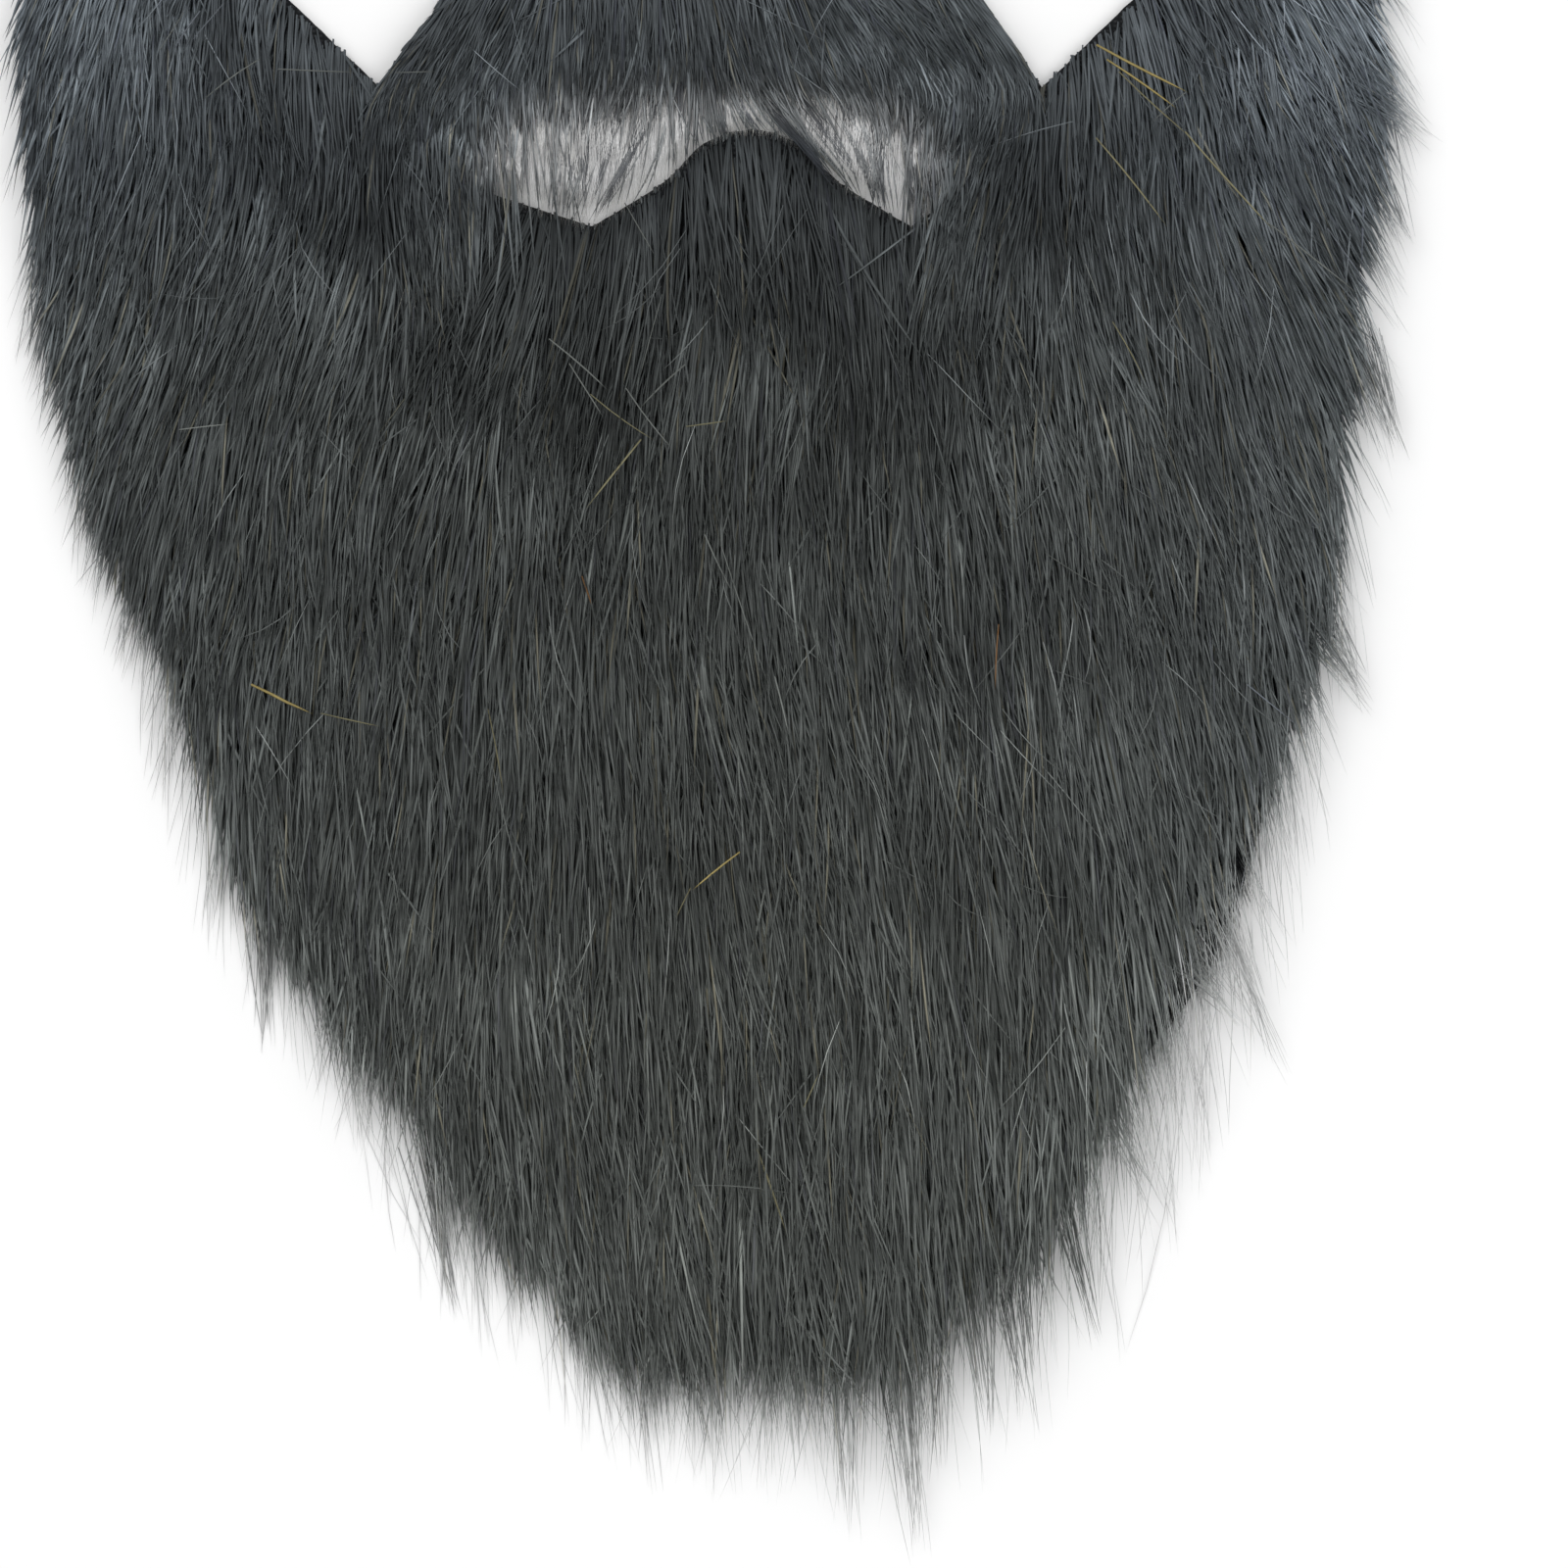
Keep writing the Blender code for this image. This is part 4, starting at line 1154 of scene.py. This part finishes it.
def knit_material(knit):
    """Ribbed or knitted cloth, with rows of loops in both directions, some uneven dye, and painted
    shade: darker in the hollows between the loops.
    """
    made, tree, shader = new_material(knit.name)
    place = tree.nodes.new("ShaderNodeTexCoord")
    waves = []
    for direction, spacing in (("X", knit.wale), ("Y", knit.course)):
        wave = tree.nodes.new("ShaderNodeTexWave")
        wave.wave_type = "BANDS"
        wave.bands_direction = direction
        set_inputs(wave, {"Scale": 2 * math.pi / (20 * spacing), "Distortion": 0.6, "Detail": 1.0})
        tree.links.new(place.outputs["Object"], wave.inputs["Vector"])
        waves.append(wave)
    loops = tree.nodes.new("ShaderNodeMath")
    loops.operation = "MULTIPLY"
    for number, wave in enumerate(waves):
        tree.links.new(wave.outputs["Fac"], loops.inputs[number])
    bump = tree.nodes.new("ShaderNodeBump")
    set_inputs(bump, {"Strength": 0.7, "Distance": knit.depth})
    tree.links.new(loops.outputs["Value"], bump.inputs["Height"])
    tree.links.new(bump.outputs["Normal"], shader.inputs["Normal"])
    cloud = tree.nodes.new("ShaderNodeTexNoise")
    set_inputs(cloud, {"Scale": 140.0, "Detail": 4.0})
    tree.links.new(place.outputs["Object"], cloud.inputs["Vector"])
    # Painted shade: the colour darkens where the loops sink, as the bump does
    blend = tree.nodes.new("ShaderNodeMath")
    blend.operation = "MULTIPLY"
    tree.links.new(cloud.outputs["Fac"], blend.inputs[0])
    tree.links.new(loops.outputs["Value"], blend.inputs[1])
    ramp = tree.nodes.new("ShaderNodeValToRGB")
    ramp.color_ramp.elements[0].color = (*knit.dark, 1.0)
    ramp.color_ramp.elements[1].color = (*knit.light, 1.0)
    ramp.color_ramp.elements[1].position = 0.6
    tree.links.new(blend.outputs["Value"], ramp.inputs["Fac"])
    tree.links.new(ramp.outputs["Color"], shader.inputs["Base Color"])
    set_inputs(shader, {"Roughness": 0.92, "Specular IOR Level": 0.15})
    return made


def floor_material():
    made, _, shader = new_material("pale_floor")
    set_inputs(shader, {"Base Color": (0.86, 0.86, 0.86, 1.0), "Roughness": 0.7})
    return made


# Stage

CAMERA_DISTANCE = 1.3
SENSOR_WIDTH = 36.0
FLOOR_HALF = 3.0
FLOOR_HEIGHT = -0.05 * MM
WORLD_STRENGTH = 0.84
Lamp = namedtuple("Lamp", "name place size power")
LAMPS = (
    Lamp("key", (-0.5, 0.7, 1.2), 0.9, 7.0),
    Lamp("fill", (0.8, -0.3, 1.1), 1.2, 4.0),
)


def build_camera():
    """Straight above the beard, with the photo's frame."""
    centre = at_pixel(PHOTO_SIDE / 2, PHOTO_SIDE / 2)
    data = bpy.data.cameras.new("camera")
    data.sensor_width = SENSOR_WIDTH
    data.lens = SENSOR_WIDTH * CAMERA_DISTANCE / (PHOTO_SIDE * PIXEL)
    camera = bpy.data.objects.new("camera", data)
    camera.location = (*centre, CAMERA_DISTANCE + CAD_BOX[1].z / 2)
    bpy.context.scene.collection.objects.link(camera)
    bpy.context.scene.camera = camera


def build_floor():
    mesh = bpy.data.meshes.new("floor")
    turns = ((-1, -1), (1, -1), (1, 1), (-1, 1))
    corners = [(FLOOR_HALF * x, FLOOR_HALF * y, FLOOR_HEIGHT) for x, y in turns]
    mesh.from_pydata(corners, [], [(0, 1, 2, 3)])
    mesh.materials.append(floor_material())
    floor = bpy.data.objects.new("floor", mesh)
    bpy.context.scene.collection.objects.link(floor)


def build_lights():
    world = bpy.data.worlds.new("studio")
    bpy.context.scene.world = world
    world.use_nodes = True
    background = world.node_tree.nodes["Background"]
    set_inputs(background, {"Color": (1.0, 1.0, 1.0, 1.0), "Strength": WORLD_STRENGTH})
    for lamp in LAMPS:
        data = bpy.data.lights.new(lamp.name, "AREA")
        data.shape = "DISK"
        data.size = lamp.size
        data.energy = lamp.power
        light = bpy.data.objects.new(lamp.name, data)
        light.location = lamp.place
        light.rotation_mode = "QUATERNION"
        light.rotation_quaternion = (-Vector(lamp.place)).to_track_quat("-Z", "Y")
        bpy.context.scene.collection.objects.link(light)
    bpy.context.scene.view_settings.view_transform = "Standard"


def joined(groups):
    """Points, radii and colours of several groups of hairs, one after the other."""
    return [np.concatenate(parts) for parts in zip(*groups)]


def coloured(hairs, colour=None, along=EVEN_ALONG, painted_fill=PAINTED_FILL_ALONG):
    """The hairs with their shades turned into colours, the fur's own where none is given."""
    points, radii, shade = hairs
    own = tinted(shade) if colour is None else np.array(colour)[None, :] * shade[:, None]
    return points, radii, toned(points, own[:, None] * along[:, None], painted_fill)


def build_moustache(fibre, on_moustache):
    """Hair of the moustache with its fringe and tufts, and the fine veil over the mouth."""
    x, y = random_roots(MOUSTACHE_COUNT, on_moustache)
    body = body_hairs(x, y, MOUSTACHE_ACROSS, MOUSTACHE_LEAN, in_clumps=True)
    body = coloured(body, painted_fill=PAINTED_FILL_ALONG * MOUSTACHE_BRIGHT)
    streaks = tuft_hairs(MOUTH_TUFTS, STREAK_RADIUS, STREAK_LENGTHS)
    # The streaks get the painted shade at the root and the painted light towards the tip
    streaks = coloured(streaks, STREAK_COLOUR, VEIL_PAINTED_SHADING_ALONG, EVEN_ALONG)
    fur = add_hairs("moustache_fur", *joined([body, streaks]), fibre)
    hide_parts("moustache_pile")

    # The fine hairs over the mouth are painted in light and shade: pale beige, darker at the root
    # and lighter towards the tip
    veil = coloured(veil_hairs(), VEIL_PAINTED_GREY, VEIL_PAINTED_SHADING_ALONG, EVEN_ALONG)
    add_hairs("mouth_veil", *veil, fibre)


def veil_hairs():
    """Fine hairs from above the mouth to its lower edge, spread evenly across it."""
    x, y = random_roots(
        VEIL_COUNT, lambda u, v: FIELDS["above_mouth"] & (FIELDS["in_mouth"] > -VEIL_ROOM)
    )
    lean = np.radians(CHANCE.normal(0, VEIL_LEAN, VEIL_COUNT))
    shade = np.ones(VEIL_COUNT)
    for spacing in VEIL_STREAKS:
        _, number, total = lock_of(x, y, spacing)
        own = CHANCE.normal(0, 1, (2, total))[:, number]
        lean += np.radians(VEIL_LEAN) * own[0]
        shade *= np.exp(VEIL_SHADE * own[1])
    length = VEIL_LENGTH * CHANCE.uniform(*VEIL_LENGTHS, VEIL_COUNT)
    px, py = walk(x, y, length, lambda u, v, share: lean)
    kept = np.minimum(1.0, passed_mouth(px, py) * CHANCE.uniform(*VEIL_ENDS, VEIL_COUNT))
    radius = VEIL_RADIUS * CHANCE.uniform(*RADIUS_RANGE, VEIL_COUNT)
    points, radii = lay(px, py, kept, CHANCE.uniform(*VEIL_LIFT, VEIL_COUNT), radius)
    return points, radii, shade


def passed_mouth(px, py):
    """Share of each path where it has crossed the mouth and reaches the cloth below it."""
    into = read_field("in_mouth", px, py) > 0
    been = np.cumsum(into, axis=1) > 0
    back = been & ~into
    first = np.where(back.any(axis=1), back.argmax(axis=1), FINE_STEPS - 1)
    return first / (FINE_STEPS - 1)


def build_sideburn(fibre, side, on_sideburn):
    sign = -1 if side == "left" else 1
    x, y = random_roots(SIDEBURN_COUNT, lambda u, v: on_sideburn(u, v) & (sign * u > 0))
    hairs = body_hairs(x, y, BEARD_ACROSS, BEARD_LEAN)
    fur = add_hairs(f"sideburn_fur_{side}", *coloured(hairs), fibre)
    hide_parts(f"sideburn_pile_{side}")


def build_beard(fibre, on_beard):
    """Hair of the chin and cheeks in five pieces from left to right, and the loose hairs."""
    x, y = random_roots(BEARD_COUNT, on_beard)
    body = body_hairs(x, y, BEARD_ACROSS, BEARD_LEAN)
    spikes = tuft_hairs(FRINGE_TUFTS, SPIKE_RADIUS, SPIKE_LENGTHS)
    points, radii, colours = joined([coloured(body), coloured(spikes)])
    names = ("cheek_fur_left", "jaw_fur_left", "chin_fur", "jaw_fur_right", "cheek_fur_right")
    order = np.argsort(points[:, 0, 0])
    for name, members in zip(names, np.array_split(order, len(names))):
        piece = add_hairs(name, points[members], radii[members], colours[members], fibre)
        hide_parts("beard_pile")
    points, radii, shade = stray_hairs()
    own = np.array([STRAY_COLOURS[stray.colour] for stray in STRAYS])
    strays = points, radii, np.repeat((own * shade[:, None])[:, None], len(RINGS), axis=1)
    loose = coloured(loose_hairs(LOOSE_COUNT), STRAY_COLOURS["faint"])
    add_hairs("stray_hairs", *joined([strays, loose]), fibre)


def main():
    fibre = fibre_material("pile_fibre", FUR_GRAIN)
    thread = fibre_material("sewing_thread", THREAD_GRAIN)
    knit = knit_material(GROUND_KNIT)
    elastic = knit_material(WOVEN_ELASTIC)
    corner_height = at_pixel(*MOUTH_CORNER)[1]
    notch_side = at_pixel(*NOTCH_POINT)[0]
    sideburn_height = at_pixel(*SIDEBURN_START)[1]

    def on_moustache(x, y):
        return (abs(x) < notch_side) & (y > corner_height) & ~FIELDS["below_mouth"]

    def on_sideburn(x, y):
        return (abs(x) > notch_side) & (y > sideburn_height)

    def on_beard(x, y):
        return ~on_moustache(x, y) & ~on_sideburn(x, y)

    build_moustache(fibre, on_moustache)
    build_sideburn(fibre, "left", on_sideburn)
    build_sideburn(fibre, "right", on_sideburn)
    build_beard(fibre, on_beard)
    cloth, area, loops = build_ground_cloth(knit)
    ends = build_thread_ends(loops, thread)
    stitches = build_strap(elastic, thread)
    build_floor()
    build_lights()
    build_camera()


main()
